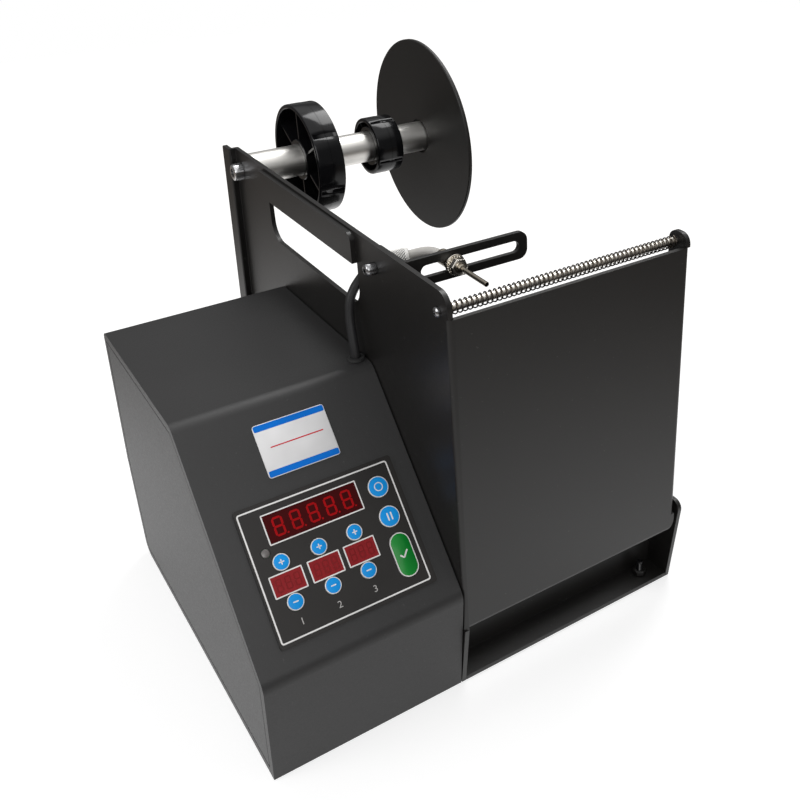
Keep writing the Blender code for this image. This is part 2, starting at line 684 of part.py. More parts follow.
def build_side_frame():
    """Side plate with its joggled rear lip and folded flap, front plate, flange and ear."""
    lean = (REAR_TOP_Y - REAR_FOOT_Y) / PLATE_HEIGHT
    rear_top = PLATE_HEIGHT + REAR_RISE
    rear_y = REAR_FOOT_Y + lean * rear_top
    step_top = rear_y - LIP_WIDTH
    step_foot = REAR_FOOT_Y - LIP_WIDTH
    plate = rounded([
        (0.0, 0.0, 0.0), (step_foot, 0.0, 0.0), (step_top, rear_top, 0.0),
        (PLATE_TOP_FRONT_Y, PLATE_HEIGHT, PLATE_TOP_CORNER), (PLATE_TOP_FRONT_Y, FRONT_HIGH_Z, 0.0),
        (PLATE_FRONT_Y, FRONT_HIGH_Z, 0.0), (PLATE_FRONT_Y, PLATE_KNEE_Z, 0.0)])
    slit_z = WINDOW_HIGH_Z - RELIEF_WIDTH
    window = rounded([
        (WINDOW_FRONT_Y, WINDOW_LOW_Z, WINDOW_CORNER), (WINDOW_REAR_Y, WINDOW_LOW_Z, WINDOW_CORNER),
        (WINDOW_REAR_Y, slit_z, 0.0), (WINDOW_REAR_Y + RELIEF_LENGTH, slit_z, 0.0),
        (WINDOW_REAR_Y + RELIEF_LENGTH, WINDOW_HIGH_Z, 0.0), (WINDOW_FRONT_Y, WINDOW_HIGH_Z, 0.0)])
    holes = [
        circle(BOLT_RADIUS + GAP, SMALL_STEPS, SHAFT_Y, SHAFT_Z),
        circle(BRACKET_BOLT_RADIUS + GAP, SMALL_STEPS, BRACKET_BOLT_Y, BRACKET_BOLT_Z),
        circle(ROD_SCREW_RADIUS + GAP, FINE_STEPS, ROD_Y, ROD_Z),
        circle(DRIVE_SHAFT_RADIUS + GAP, SMALL_STEPS, DRIVE_Y, DRIVE_Z),
        circle(FORK_ROD_RADIUS + GAP, SMALL_STEPS, FORK_Y, FORK_Z)]
    frame = slab("side_frame", [plate, window, *holes], 0.0, SHEET, SIDE)
    section = rounded([
        (0.0, -SHEET, 0.0), (SHEET, -SHEET, 0.0), (SHEET, SHEET, SHEET / 2.0),
        (SHEET - LIP_OUTSET, SHEET, GAP), (SHEET - LIP_OUTSET, LIP_WIDTH, 0.0),
        (-LIP_OUTSET, LIP_WIDTH, 0.0), (-LIP_OUTSET, 0.0, SHEET / 2.0), (0.0, 0.0, GAP)])
    lip = slab("lip_tool", [section], 0.0, rear_top, FLAT)
    shear = Matrix.Identity(4)
    shear[1][2] = lean
    lip.data.transform(Matrix.Translation((0.0, 0.0, rear_top / 2.0)))
    lip.data.transform(shear)
    lip.matrix_world = Matrix.Translation((0.0, step_foot, 0.0))
    flap = slab("flap_tool", [rounded([
        (WINDOW_FRONT_Y, WINDOW_HIGH_Z, 0.0), (FLAP_REAR_Y, WINDOW_HIGH_Z, 0.0),
        (FLAP_REAR_Y, PLATE_HEIGHT - FLAP_TOP_DROP, 0.0),
        (WINDOW_FRONT_Y, PLATE_HEIGHT - FLAP_TOP_DROP, FLAP_CORNER)])], -FLAP_OUTSET, FUSE, SIDE)
    front_back = PLATE_FRONT_Y + SHEET
    front = front_slab("front_tool", [rounded([
        (FUSE, FRONT_LOW_Z, 0.0), (FRONT_WIDTH, FRONT_LOW_Z, FRONT_CORNER),
        (FRONT_WIDTH, FRONT_HIGH_Z, 0.0), (FUSE, FRONT_HIGH_Z, 0.0)])], PLATE_FRONT_Y, front_back)
    flange_back = PLATE_FRONT_Y + FLANGE_DEPTH
    flange = slab("flange_tool", [rounded([
        (PLATE_FRONT_Y, FLANGE_LOW_Z, 0.0), (flange_back, FLANGE_LOW_Z, BEND_RADIUS),
        (flange_back, EAR_TOP_Z, EAR_CORNER), (PLATE_FRONT_Y, EAR_TOP_Z, EAR_CORNER)]),
        circle(ROD_RADIUS + GAP, SMALL_STEPS, ROD_Y, ROD_Z)], FRONT_WIDTH - SHEET, FRONT_WIDTH, SIDE)
    turn_in = slab("return_tool", [box_outline(
        FUSE, PLATE_FRONT_Y + FUSE, FRONT_WIDTH - FRONT_CORNER - SHEET,
        PLATE_FRONT_Y + RETURN_DEPTH)], FRONT_LOW_Z, FRONT_LOW_Z + SHEET, FLAT)
    join(frame, lip, flap, front, flange, turn_in)
    left_bend = bend_cutter("left_bend_tool", FLAT, (0.0, PLATE_FRONT_Y), (1, 1), BEND_RADIUS,
                            PLATE_KNEE_Z, FRONT_HIGH_Z)
    right_bend = bend_cutter("right_bend_tool", FLAT, (FRONT_WIDTH, PLATE_FRONT_Y), (-1, 1),
                             BEND_RADIUS, FLANGE_LOW_Z, FRONT_HIGH_Z)
    low_bend = bend_cutter("low_bend_tool", SIDE, (PLATE_FRONT_Y, FRONT_LOW_Z), (1, 1),
                           RETURN_RADIUS, SHEET, FRONT_WIDTH + OVERRUN)
    lip_corner = bend_cutter("lip_corner_tool", SIDE, (rear_y, rear_top), (-1, -1),
                             LIP_CORNER, -LIP_OUTSET - OVERRUN, FUSE)
    cut(frame, left_bend, right_bend, low_bend, lip_corner)


def build_base_tray():
    """Tray on the table: floor, right wall, low left upstand and inner wall, with its stud."""
    left = SHEET + GAP
    floor = slab("base_tray", [rounded([
        (left, 0.0, 0.0), (TRAY_RIGHT_X, 0.0, 0.0), (TRAY_RIGHT_X, TRAY_REAR_Y, WALL_CORNER),
        (left, TRAY_REAR_Y, 0.0)])], 0.0, SHEET, FLAT)
    wall = slab("wall_tool", [rounded([
        (0.0, 0.0, 0.0), (WALL_REAR_Y, 0.0, 0.0), (WALL_REAR_Y, WALL_HEIGHT, WALL_CORNER),
        (WALL_FRONT_Y, WALL_HEIGHT, WALL_CORNER)]),
        circle(DRIVE_SHAFT_RADIUS + GAP, SMALL_STEPS, DRIVE_Y, DRIVE_Z),
        circle(FORK_ROD_RADIUS + GAP, SMALL_STEPS, FORK_Y, FORK_Z)],
        TRAY_RIGHT_X - SHEET, TRAY_RIGHT_X, SIDE)
    upstand = slab("upstand_tool", [box_outline(
        INNER_WALL_Y, 0.0, TRAY_REAR_Y, UPSTAND_HEIGHT)], left, left + SHEET, SIDE)
    inner = front_slab("inner_wall_tool", [box_outline(
        left, FUSE, TRAY_RIGHT_X - FUSE, INNER_WALL_HEIGHT)], INNER_WALL_Y, INNER_WALL_Y + SHEET)
    join(floor, wall, upstand, inner)
    foot = SHEET + GAP
    centre = (TRAY_STUD_X, TRAY_STUD_Y, 0.0)
    rod("tray_stud", TRAY_STUD_RADIUS, foot, foot + TRAY_STUD_HEIGHT, FLAT, centre,
        FINE_STEPS, POWDER)
    slab("tray_nut", [hexagon(TRAY_NUT_FLATS), circle(TRAY_STUD_RADIUS + GAP, FINE_STEPS)], foot,
         foot + TRAY_NUT_HEIGHT, Matrix.Translation(centre), POWDER)


def box_corners():
    """Outline of the electronics box seen from the side, counter-clockwise."""
    return [(0.0, 0.0, 0.0), (BOX_REAR_Y, 0.0, BOX_REAR_CORNER),
            (BOX_REAR_Y, BOX_REAR_KNEE_Z, 0.0),
            (BOX_REAR_Y - BOX_REAR_LEAN, BOX_TOP_Z, BOX_CORNER),
            (BOX_TOP_Y, BOX_TOP_Z, BOX_BEND_RADIUS), (BOX_BEND_Y, BOX_BEND_Z, BOX_BEND_RADIUS)]


def slope_plane():
    """Plane of the control panel: u to the right, v up the slope and w outwards."""
    rise = Vector((0.0, BOX_TOP_Y - BOX_BEND_Y, BOX_TOP_Z - BOX_BEND_Z)).normalized()
    right = Vector((1.0, 0.0, 0.0))
    out = right.cross(rise)
    plane = Matrix((right, rise, out)).transposed().to_4x4()
    return Matrix.Translation((0.0, BOX_BEND_Y, BOX_BEND_Z)) @ plane


def lens_places():
    """Centre and size of each display lens on the panel, by node name."""
    places = {"counter_lens": (COUNTER_PLACE, COUNTER_SIZE)}
    for name, column in zip(("speed_lens", "length_lens", "rows_lens"), COLUMN_X):
        places[name] = ((column, SMALL_V), SMALL_SIZE)
    return places


def key_places():
    """Outline, radius and place of each round key, by node name."""
    places = {}
    for name, column in zip(("speed", "length", "rows"), COLUMN_X):
        places[name + "_up_key"] = (column, UP_V, KEY_RADIUS)
        places[name + "_down_key"] = (column, DOWN_V, KEY_RADIUS)
    places["reset_key"] = (BIG_KEY_X, RESET_V, BIG_KEY_RADIUS)
    places["pause_key"] = (BIG_KEY_X, PAUSE_V, BIG_KEY_RADIUS)
    return places


def oblong(radius, length, u, v):
    """Outline of a round-ended oblong that stands along v."""
    reach = length / 2.0 - radius
    return arc(u, v + reach, radius, 0.0, 180.0, FINE_STEPS) + arc(
        u, v - reach, radius, 180.0, 360.0, FINE_STEPS)


def build_box():
    """Electronics box: bent wrap, left side panel and floor pan."""
    corners = box_corners()
    wrap = slab("box_wrap", [rounded(corners)], BOX_LEFT_X, BOX_RIGHT_X, SIDE, CHARCOAL)
    left_end = wrap.vertex_groups.new(name="left_end")
    left_end.add([vertex.index for vertex in wrap.data.vertices if vertex.co.z < 0.0], 1.0, "REPLACE")
    edge = wrap.modifiers.new("edge", "BEVEL")
    edge.width = BOX_EDGE
    edge.segments = 3
    edge.limit_method = "VGROUP"
    edge.vertex_group = left_end.name
    under_rear = BOX_REAR_Y - BOX_REAR_CORNER
    inner = inset(corners, THIN_SHEET)
    lean = (BOX_BEND_Y / BOX_BEND_Z) * (-OVERRUN - THIN_SHEET)
    inner_outline = [(inner[0][0] + lean, -OVERRUN), (under_rear, -OVERRUN)] + rounded(inner)[1:]
    hollow = slab("hollow_tool", [inner_outline], BOX_LEFT_X + THIN_SHEET, BOX_RIGHT_X + OVERRUN, SIDE)
    opening = slab("side_opening_tool", [rounded(inset(corners, SEAM_INSET))],
                   BOX_LEFT_X - OVERRUN, BOX_LEFT_X + THIN_SHEET + FUSE, SIDE)
    pad_hole = blocks("pad_hole_tool", [(
        (PAD_LEFT_X + PAD_MARGIN, PAD_LOW + PAD_MARGIN, -OVERRUN),
        (PAD_RIGHT_X - PAD_MARGIN, PAD_HIGH - PAD_MARGIN, OVERRUN))], slope_plane())
    gland_hole = rod("gland_hole_tool", GROMMET_RADIUS - GROMMET_COLLAR + GAP, -OVERRUN, OVERRUN,
                     FLAT, (GROMMET_X, GROMMET_Y, BOX_TOP_Z))
    rear_near = BOX_REAR_Y - OVERRUN
    rear_far = BOX_REAR_Y + OVERRUN
    inlet_u, inlet_v = INLET_SIZE[0] / 2.0 + GAP, INLET_SIZE[1] / 2.0 + GAP
    frame_u = ROCKER_SIZE[0] / 2.0 + ROCKER_FRAME + GAP
    frame_v = ROCKER_SIZE[1] / 2.0 + ROCKER_FRAME + GAP
    rear_holes = blocks("rear_holes_tool", [
        ((INLET_X - inlet_u, rear_near, REAR_PARTS_Z - inlet_v),
         (INLET_X + inlet_u, rear_far, REAR_PARTS_Z + inlet_v)),
        ((ROCKER_X - frame_u, rear_near, REAR_PARTS_Z - frame_v),
         (ROCKER_X + frame_u, rear_far, REAR_PARTS_Z + frame_v))])
    fuse_hole = rod("fuse_hole_tool", FUSE_RADIUS + GAP, -OVERRUN, OVERRUN, ALONG_BACK,
                    (FUSE_X, BOX_REAR_Y, REAR_PARTS_Z))
    cut(wrap, hollow, opening, pad_hole, gland_hole, rear_holes, fuse_hole)
    slab("side_panel", [rounded(inset(corners, SEAM_INSET + SEAM))], BOX_LEFT_X,
         BOX_LEFT_X + THIN_SHEET, SIDE, CHARCOAL)
    slab("floor_pan", [box_outline(BOX_LEFT_X + THIN_SHEET + GAP, THIN_SHEET + GAP,
                                   BOX_RIGHT_X, under_rear - GAP)], 0.0, FLOOR_PAN, FLAT, CHARCOAL)


def build_panel():
    """Control panel on the slope: badge, pad, lenses, keys and the board behind them."""
    plane = slope_plane()
    pad_top = GAP + PAD_THICK
    slab("badge_plate", [box_outline(BADGE_LEFT_X, BADGE_LOW, BADGE_RIGHT_X, BADGE_HIGH,
                                     BADGE_CORNER)], GAP, GAP + BADGE_THICK, plane, WHITE)
    holes = []
    lens_low = pad_top + LENS_RAISE - PAD_THICK
    for name, ((u, v), (wide, high)) in lens_places().items():
        half_u, half_v = wide / 2.0, high / 2.0
        slab(name, [box_outline(u - half_u, v - half_v, u + half_u, v + half_v, LENS_CORNER)],
             lens_low, pad_top + LENS_RAISE, plane, RED)
        holes.append(box_outline(u - half_u - GAP, v - half_v - GAP, u + half_u + GAP,
                                 v + half_v + GAP, LENS_CORNER + GAP))
    key_top = pad_top + KEY_RAISE
    for name, (u, v, radius) in key_places().items():
        profile = [(0.0, key_top), (radius - KEY_CROWN, key_top), (radius, key_top - KEY_CROWN),
                   (radius, key_top - KEY_DEPTH), (0.0, key_top - KEY_DEPTH)]
        turned(name, profile, plane.to_3x3().to_4x4(), plane @ Vector((u, v, 0.0)), BLUE,
               SMALL_STEPS, closed=False)
        holes.append(circle(radius + GAP, SMALL_STEPS, u, v))
    place = plane @ Matrix.Translation((BIG_KEY_X, CONFIRM_V, 0.0))
    slab("confirm_key", [oblong(BIG_KEY_RADIUS, CONFIRM_LENGTH, 0.0, 0.0)],
         key_top - KEY_DEPTH, key_top, place, GREEN)
    holes.append(oblong(BIG_KEY_RADIUS + GAP, CONFIRM_LENGTH + GAP * 2.0, BIG_KEY_X, CONFIRM_V))
    eye = plane @ Vector((SENSOR_EYE_X, SENSOR_EYE_V, 0.0))
    rod("light_eye", SENSOR_EYE_RADIUS, lens_low, pad_top + LENS_RAISE, plane.to_3x3().to_4x4(),
        eye, FINE_STEPS, PLASTIC)
    holes.append(circle(SENSOR_EYE_RADIUS + GAP, FINE_STEPS, SENSOR_EYE_X, SENSOR_EYE_V))
    outline = box_outline(PAD_LEFT_X, PAD_LOW, PAD_RIGHT_X, PAD_HIGH, PAD_CORNER)
    slab("keypad_panel", [outline, *holes], GAP, pad_top, plane, FILM)
    build_board(plane, lens_low, key_top - KEY_DEPTH)


def build_board(plane, lens_low, key_low):
    """Control board under the pad, with its posts, display modules and key switches."""
    board_top = -THIN_SHEET - BOARD_DROP
    board = slab("control_board", [box_outline(PAD_LEFT_X, PAD_LOW, PAD_RIGHT_X, PAD_HIGH)],
                 board_top - BOARD_THICK, board_top, plane, BOARD)
    tall = []
    for (u, v), (wide, high) in lens_places().values():
        tall.append(((u - wide / 2.0, v - high / 2.0, board_top - FUSE),
                     (u + wide / 2.0, v + high / 2.0, lens_low - GAP)))
    half = SWITCH_SIZE / 2.0
    switch_top = key_low - KEY_TRAVEL - GAP
    key_centres = [(u, v) for u, v, _ in key_places().values()] + [(BIG_KEY_X, CONFIRM_V)]
    for u, v in key_centres:
        tall.append(((u - half, v - half, board_top - FUSE), (u + half, v + half, switch_top)))
    eye_half = SENSOR_EYE_RADIUS
    tall.append(((SENSOR_EYE_X - eye_half, SENSOR_EYE_V - eye_half, board_top - FUSE),
                 (SENSOR_EYE_X + eye_half, SENSOR_EYE_V + eye_half, lens_low - GAP)))
    post = PAD_MARGIN - GAP - FUSE
    for u in (PAD_LEFT_X + FUSE, PAD_RIGHT_X - FUSE - post):
        for v in (PAD_LOW + FUSE, PAD_HIGH - FUSE - post):
            tall.append(((u, v, board_top - FUSE), (u + post, v + post, -THIN_SHEET - GAP)))
    join(board, blocks("board_parts_tool", tall, plane))


def build_shaft():
    """Roll shaft: tube, its bolt through the side plate and its end cap."""
    centre = (0.0, SHAFT_Y, SHAFT_Z)
    left = SHEET + GAP
    hole = BOLT_RADIUS + GAP
    turned("shaft_tube", [
        (TUBE_RADIUS, TUBE_RIGHT_X), (TUBE_RADIUS, left), (hole, left), (hole, left + TUBE_PLUG),
        (TUBE_BORE, left + TUBE_PLUG), (TUBE_BORE, TUBE_RIGHT_X)], ALONG_X, centre, ALUMINIUM)
    head = -GAP - BOLT_HEAD_HEIGHT
    chamfer = BOLT_HEAD_RADIUS / 8.0
    bolt = turned("shaft_bolt", [
        (0.0, BOLT_GRIP), (BOLT_RADIUS, BOLT_GRIP), (BOLT_RADIUS, -GAP), (BOLT_HEAD_RADIUS, -GAP),
        (BOLT_HEAD_RADIUS, head + chamfer), (BOLT_HEAD_RADIUS - chamfer, head), (0.0, head)],
        ALONG_X, centre, CHROME, SMALL_STEPS, closed=False)
    cut(bolt, slab("bolt_socket_tool", [hexagon(SOCKET_FLATS)], -OVERRUN, SOCKET_DEPTH,
                   Matrix.Translation((head, SHAFT_Y, SHAFT_Z)) @ ALONG_X))
    cap = TUBE_RIGHT_X + GAP
    turned("shaft_end_cap", [
        (0.0, cap + END_CAP_FLANGE), (TUBE_RADIUS - GAP, cap + END_CAP_FLANGE), (TUBE_RADIUS, cap),
        (TUBE_BORE - GAP, cap), (TUBE_BORE - GAP, cap - END_CAP_DEPTH), (0.0, cap - END_CAP_DEPTH)],
        ALONG_X, centre, PLASTIC, ROUND_STEPS, closed=False)


def build_wheel(name, start, width, radius, ribs):
    """Core wheel: rim, web at its right side, hub and ribs, open to the left."""
    centre = (0.0, SHAFT_Y, SHAFT_Z)
    bore = TUBE_RADIUS + RUNNING_GAP
    hub = bore + HUB_THICK
    rim = radius - RIM_THICK
    end = start + width
    web = end - WEB_THICK
    wheel = turned(name, [
        (radius, end), (radius, start), (rim, start), (rim, web), (hub, web), (hub, start + RIB_DROP),
        (bore, start + RIB_DROP), (bore, end)], ALONG_X, centre, PLASTIC)
    mesh = bpy.data.meshes.new(name + "_ribs")
    shape = bmesh.new()
    length = rim - hub + FUSE * 2.0
    size = (web - start - RIB_DROP + FUSE, length, RIB_THICK)
    middle = Vector((start + RIB_DROP + size[0] / 2.0, (rim + hub) / 2.0, 0.0))
    for index in range(ribs):
        turn = Matrix.Rotation(math.tau * (index + 0.5) / ribs, 4, "X")
        bmesh.ops.create_cube(shape, size=1.0,
                              matrix=turn @ Matrix.Translation(middle) @ Matrix.Diagonal((*size, 1.0)))
    shape.to_mesh(mesh)
    shape.free()
    join(wheel, put(name + "_ribs_tool", mesh, Matrix.Translation(centre), PLASTIC))


def build_disc():
    """Guard disc with the short hub on its right and the hub's set screw."""
    centre = (0.0, SHAFT_Y, SHAFT_Z)
    bore = TUBE_RADIUS + RUNNING_GAP
    hub_start = DISC_X + DISC_THICK
    hub_end = hub_start + DISC_HUB_LENGTH
    disc = turned("guard_disc", [
        (DISC_RADIUS, hub_start), (DISC_RADIUS, DISC_X), (bore, DISC_X), (bore, hub_end),
        (DISC_HUB_RADIUS, hub_end), (DISC_HUB_RADIUS, hub_start)],
        ALONG_X, centre, POWDER, ROUND_STEPS + ROUND_STEPS // 3)
    spoke = Matrix.Rotation(math.radians(SET_SCREW_ANGLE), 4, "X").inverted()
    place = (hub_start + DISC_HUB_LENGTH / 2.0, SHAFT_Y, SHAFT_Z)
    tool = rod("set_screw_hole_tool", SET_SCREW_RADIUS + GAP, TUBE_RADIUS - OVERRUN / 2.0,
               DISC_HUB_RADIUS + OVERRUN, spoke, place, FINE_STEPS)
    cut(disc, tool)
    rod("set_screw", SET_SCREW_RADIUS, TUBE_RADIUS + GAP, DISC_HUB_RADIUS + SET_SCREW_PROUD, spoke,
        place, FINE_STEPS)


def build_bracket():
    """Sensor bracket: leg on the side plate and slotted arm, with its pivot bolt and nut."""
    pivot = (0.0, BRACKET_BOLT_Y, BRACKET_BOLT_Z)
    left = SHEET + GAP
    slot_z = slot_height()
    half = SLOT_WIDTH / 2.0
    slot = arc(SLOT_START_X + half, slot_z, half, 90.0, 270.0, FINE_STEPS)
    slot += arc(SLOT_END_X - half, slot_z, half, -90.0, 90.0, FINE_STEPS)
    bracket = front_slab("sensor_bracket", [rounded([
        (left, ARM_LOW_Z, 0.0), (left + ARM_LENGTH, ARM_LOW_Z, ARM_CORNER),
        (left + ARM_LENGTH, ARM_HIGH_Z, ARM_CORNER), (left, ARM_HIGH_Z, 0.0)]), slot],
        ARM_Y, ARM_Y + SHEET)
    leg = slab("leg_tool", [rounded([
        (ARM_Y, ARM_LOW_Z, 0.0), (ARM_Y + LEG_CORNER, ARM_LOW_Z, 0.0),
        (ARM_Y + LEG_CORNER + SHEET, LEG_LOW_Z, 0.0), (LEG_REAR_Y, LEG_LOW_Z, LEG_CORNER),
        (LEG_REAR_Y, ARM_HIGH_Z, LEG_CORNER), (ARM_Y, ARM_HIGH_Z, 0.0)]),
        circle(BRACKET_BOLT_RADIUS + GAP, SMALL_STEPS, BRACKET_BOLT_Y, BRACKET_BOLT_Z)],
        left, left + SHEET, SIDE)
    join(bracket, leg)
    cut(bracket, bend_cutter("bracket_bend_tool", FLAT, (left, ARM_Y), (1, 1), BEND_RADIUS,
                             ARM_LOW_Z - OVERRUN, ARM_HIGH_Z + OVERRUN))
    origin_at(bracket, pivot)
    head = -GAP - BRACKET_HEAD_HEIGHT
    chamfer = BRACKET_HEAD_RADIUS / 3.0
    inner = left + SHEET + GAP
    turned("bracket_bolt", [
        (0.0, inner + BRACKET_NUT_HEIGHT), (BRACKET_BOLT_RADIUS, inner + BRACKET_NUT_HEIGHT),
        (BRACKET_BOLT_RADIUS, -GAP), (BRACKET_HEAD_RADIUS, -GAP),
        (BRACKET_HEAD_RADIUS, head + chamfer), (BRACKET_HEAD_RADIUS - chamfer, head), (0.0, head)],
        ALONG_X, pivot, CHROME, SMALL_STEPS, closed=False)
    slab("bracket_nut", [hexagon(BRACKET_NUT_FLATS), circle(BRACKET_BOLT_RADIUS + GAP)], inner,
         inner + BRACKET_NUT_HEIGHT, Matrix.Translation(pivot) @ ALONG_X, CHROME)


def build_sensor():
    """Slender sensor in the slot, held by a star washer and a nut."""
    centre = (SENSOR_X, 0.0, slot_height())
    rear_face = ARM_Y + SHEET + GAP
    washer_back = ARM_Y - GAP
    washer_front = washer_back - WASHER_THICK
    nut_back = washer_front - GAP
    nut_front = nut_back - NUT_THICK
    thread = nut_front - COLLAR_LENGTH / 2.0
    turned("sensor_body", [
        (0.0, SENSOR_REAR_Y), (SENSOR_BODY_RADIUS, SENSOR_REAR_Y), (SENSOR_BODY_RADIUS, rear_face),
        (SENSOR_RADIUS, rear_face), (SENSOR_RADIUS, thread), (COLLAR_RADIUS, thread),
        (COLLAR_RADIUS, thread - COLLAR_LENGTH), (TIP_RADIUS, thread - COLLAR_LENGTH),
        (TIP_RADIUS, TIP_FRONT_Y), (0.0, TIP_FRONT_Y)],
        ALONG_BACK, centre, NICKEL, SMALL_STEPS, closed=False)
    plane = Matrix.Translation(centre) @ ALONG_BACK
    bore = circle(SENSOR_RADIUS + GAP)
    star = []
    for index in range(WASHER_TEETH * 2):
        radius = WASHER_RADIUS - WASHER_TOOTH * (index % 2)
        angle = 360.0 * index / (WASHER_TEETH * 2)
        half_tooth = 360.0 / (WASHER_TEETH * 8)
        star += arc(0.0, 0.0, radius, angle - half_tooth, angle + half_tooth, 1)
    slab("star_washer", [star, bore], washer_front, washer_back, plane, NICKEL)
    slab("sensor_nut", [hexagon(NUT_FLATS), bore], nut_front, nut_back, plane, NICKEL)


def build_leads():
    """Sensor lead: grey part, sleeve, black part and the grommet that it enters."""
    grey, grey_length = smooth_route(GREY_ROUTE, LEAD_RADIUS * 0.7)
    wire("sensor_lead_grey", grey, LEAD_RADIUS, GREY)
    black, black_length = smooth_route(BLACK_ROUTE, BLACK_LEAD_RADIUS)
    wire("sensor_lead_black", black, BLACK_LEAD_RADIUS, BLACK_LEAD)
    print("grey lead %.1f mm, black lead %.1f mm" % (grey_length * 1000.0, black_length * 1000.0))
    start, end = Vector(SLEEVE_START), Vector(SLEEVE_END)
    length = (end - start).length
    taper = SLEEVE_RADIUS - SLEEVE_END_RADIUS
    sleeve_bore = LEAD_RADIUS + GAP
    turned("lead_sleeve", [
        (sleeve_bore, length), (SLEEVE_END_RADIUS, length), (SLEEVE_RADIUS, length - taper),
        (SLEEVE_RADIUS, taper), (SLEEVE_END_RADIUS, 0.0), (sleeve_bore, 0.0)],
        (end - start).to_track_quat("Z", "Y").to_matrix().to_4x4(), start, GREY, SMALL_STEPS)
    bore = BLACK_LEAD_RADIUS + GAP
    neck = GROMMET_RADIUS - GROMMET_COLLAR
    low = -THIN_SHEET - GROMMET_COLLAR
    turned("lead_grommet", [
        (GROMMET_RADIUS - GAP, GAP + GROMMET_COLLAR), (GROMMET_RADIUS, GAP), (neck, GAP), (neck, low),
        (bore, low), (bore, GAP + GROMMET_COLLAR)], FLAT, (GROMMET_X, GROMMET_Y, BOX_TOP_Z), RUBBER,
        SMALL_STEPS)


def spring_points():
    """Points along the spring: an even helix whose ends run straight for one wire width."""
    start = SHEET + GAP + SPRING_END_GAP
    end = FRONT_WIDTH - SHEET - SPRING_END_GAP
    straight = SPRING_WIRE_RADIUS * 2.0
    count = SPRING_TURNS * SPRING_POINTS_PER_TURN
    pitch = (end - start - straight * 2.0) / SPRING_TURNS
    centre_z = ROD_Z - SPRING_DROP
    points = []
    for index in range(count + 1):
        turns = index / SPRING_POINTS_PER_TURN
        angle = math.tau * turns
        points.append((start + straight + pitch * turns,
                       ROD_Y + SPRING_COIL_RADIUS * math.cos(angle),
                       centre_z + SPRING_COIL_RADIUS * math.sin(angle)))
    points.insert(0, (start, points[0][1], points[0][2]))
    points.append((end, points[-1][1], points[-1][2]))
    return points


def least_gap(points, radius, skip):
    """Least gap of a wound tube to itself, between points more than skip apart."""
    places = [Vector(point) for point in points]
    least = min((places[first] - places[second]).length
                for first in range(len(places) - skip)
                for second in range(first + skip, min(len(places), first + skip * 3)))
    return least - radius * 2.0


def build_guide_rod():
    """Guide rod between the side plate and the ear, with its spring and end screw."""
    centre = (0.0, ROD_Y, ROD_Z)
    left = SHEET + GAP
    guide = rod("guide_rod", ROD_RADIUS, left, FRONT_WIDTH, ALONG_X, centre, SMALL_STEPS, NICKEL)
    cut(guide, rod("rod_hole_tool", ROD_SCREW_RADIUS + GAP, left - OVERRUN, left + ROD_SCREW_DEPTH,
                   ALONG_X, centre, FINE_STEPS))
    head = -GAP - ROD_SCREW_HEAD_HEIGHT
    chamfer = ROD_SCREW_HEAD_RADIUS / 4.0
    turned("rod_screw", [
        (0.0, ROD_SCREW_DEPTH), (ROD_SCREW_RADIUS, ROD_SCREW_DEPTH), (ROD_SCREW_RADIUS, -GAP),
        (ROD_SCREW_HEAD_RADIUS, -GAP), (ROD_SCREW_HEAD_RADIUS, head + chamfer),
        (ROD_SCREW_HEAD_RADIUS - chamfer, head), (0.0, head)],
        ALONG_X, centre, CHROME, FINE_STEPS, closed=False)
    points = spring_points()
    wire("guide_spring", points, SPRING_WIRE_RADIUS, STEEL, 1)
    gap = least_gap(points, SPRING_WIRE_RADIUS, SPRING_POINTS_PER_TURN // 2)
    print("guide spring: %d turns, least gap to itself %.2f mm" % (SPRING_TURNS, gap * 1000.0))


def gear_outline(teeth):
    """Outline of a straight gear with tapered teeth, thinned by the gears' slack."""
    pitch = GEAR_MODULE * teeth / 2.0
    tip = pitch + GEAR_MODULE * 0.85
    root = pitch - GEAR_MODULE * 1.25
    step = 360.0 / teeth
    slack = math.degrees(GEAR_SLACK / pitch)
    outline = []
    for index in range(teeth):
        middle = step * index
        for radius, share, side in ((root, 0.36, -1), (tip, 0.12, -1), (tip, 0.12, 1), (root, 0.36, 1)):
            angle = math.radians(middle + side * (step * share - slack / 2.0))
            outline.append((radius * math.cos(angle), radius * math.sin(angle)))
    return outline


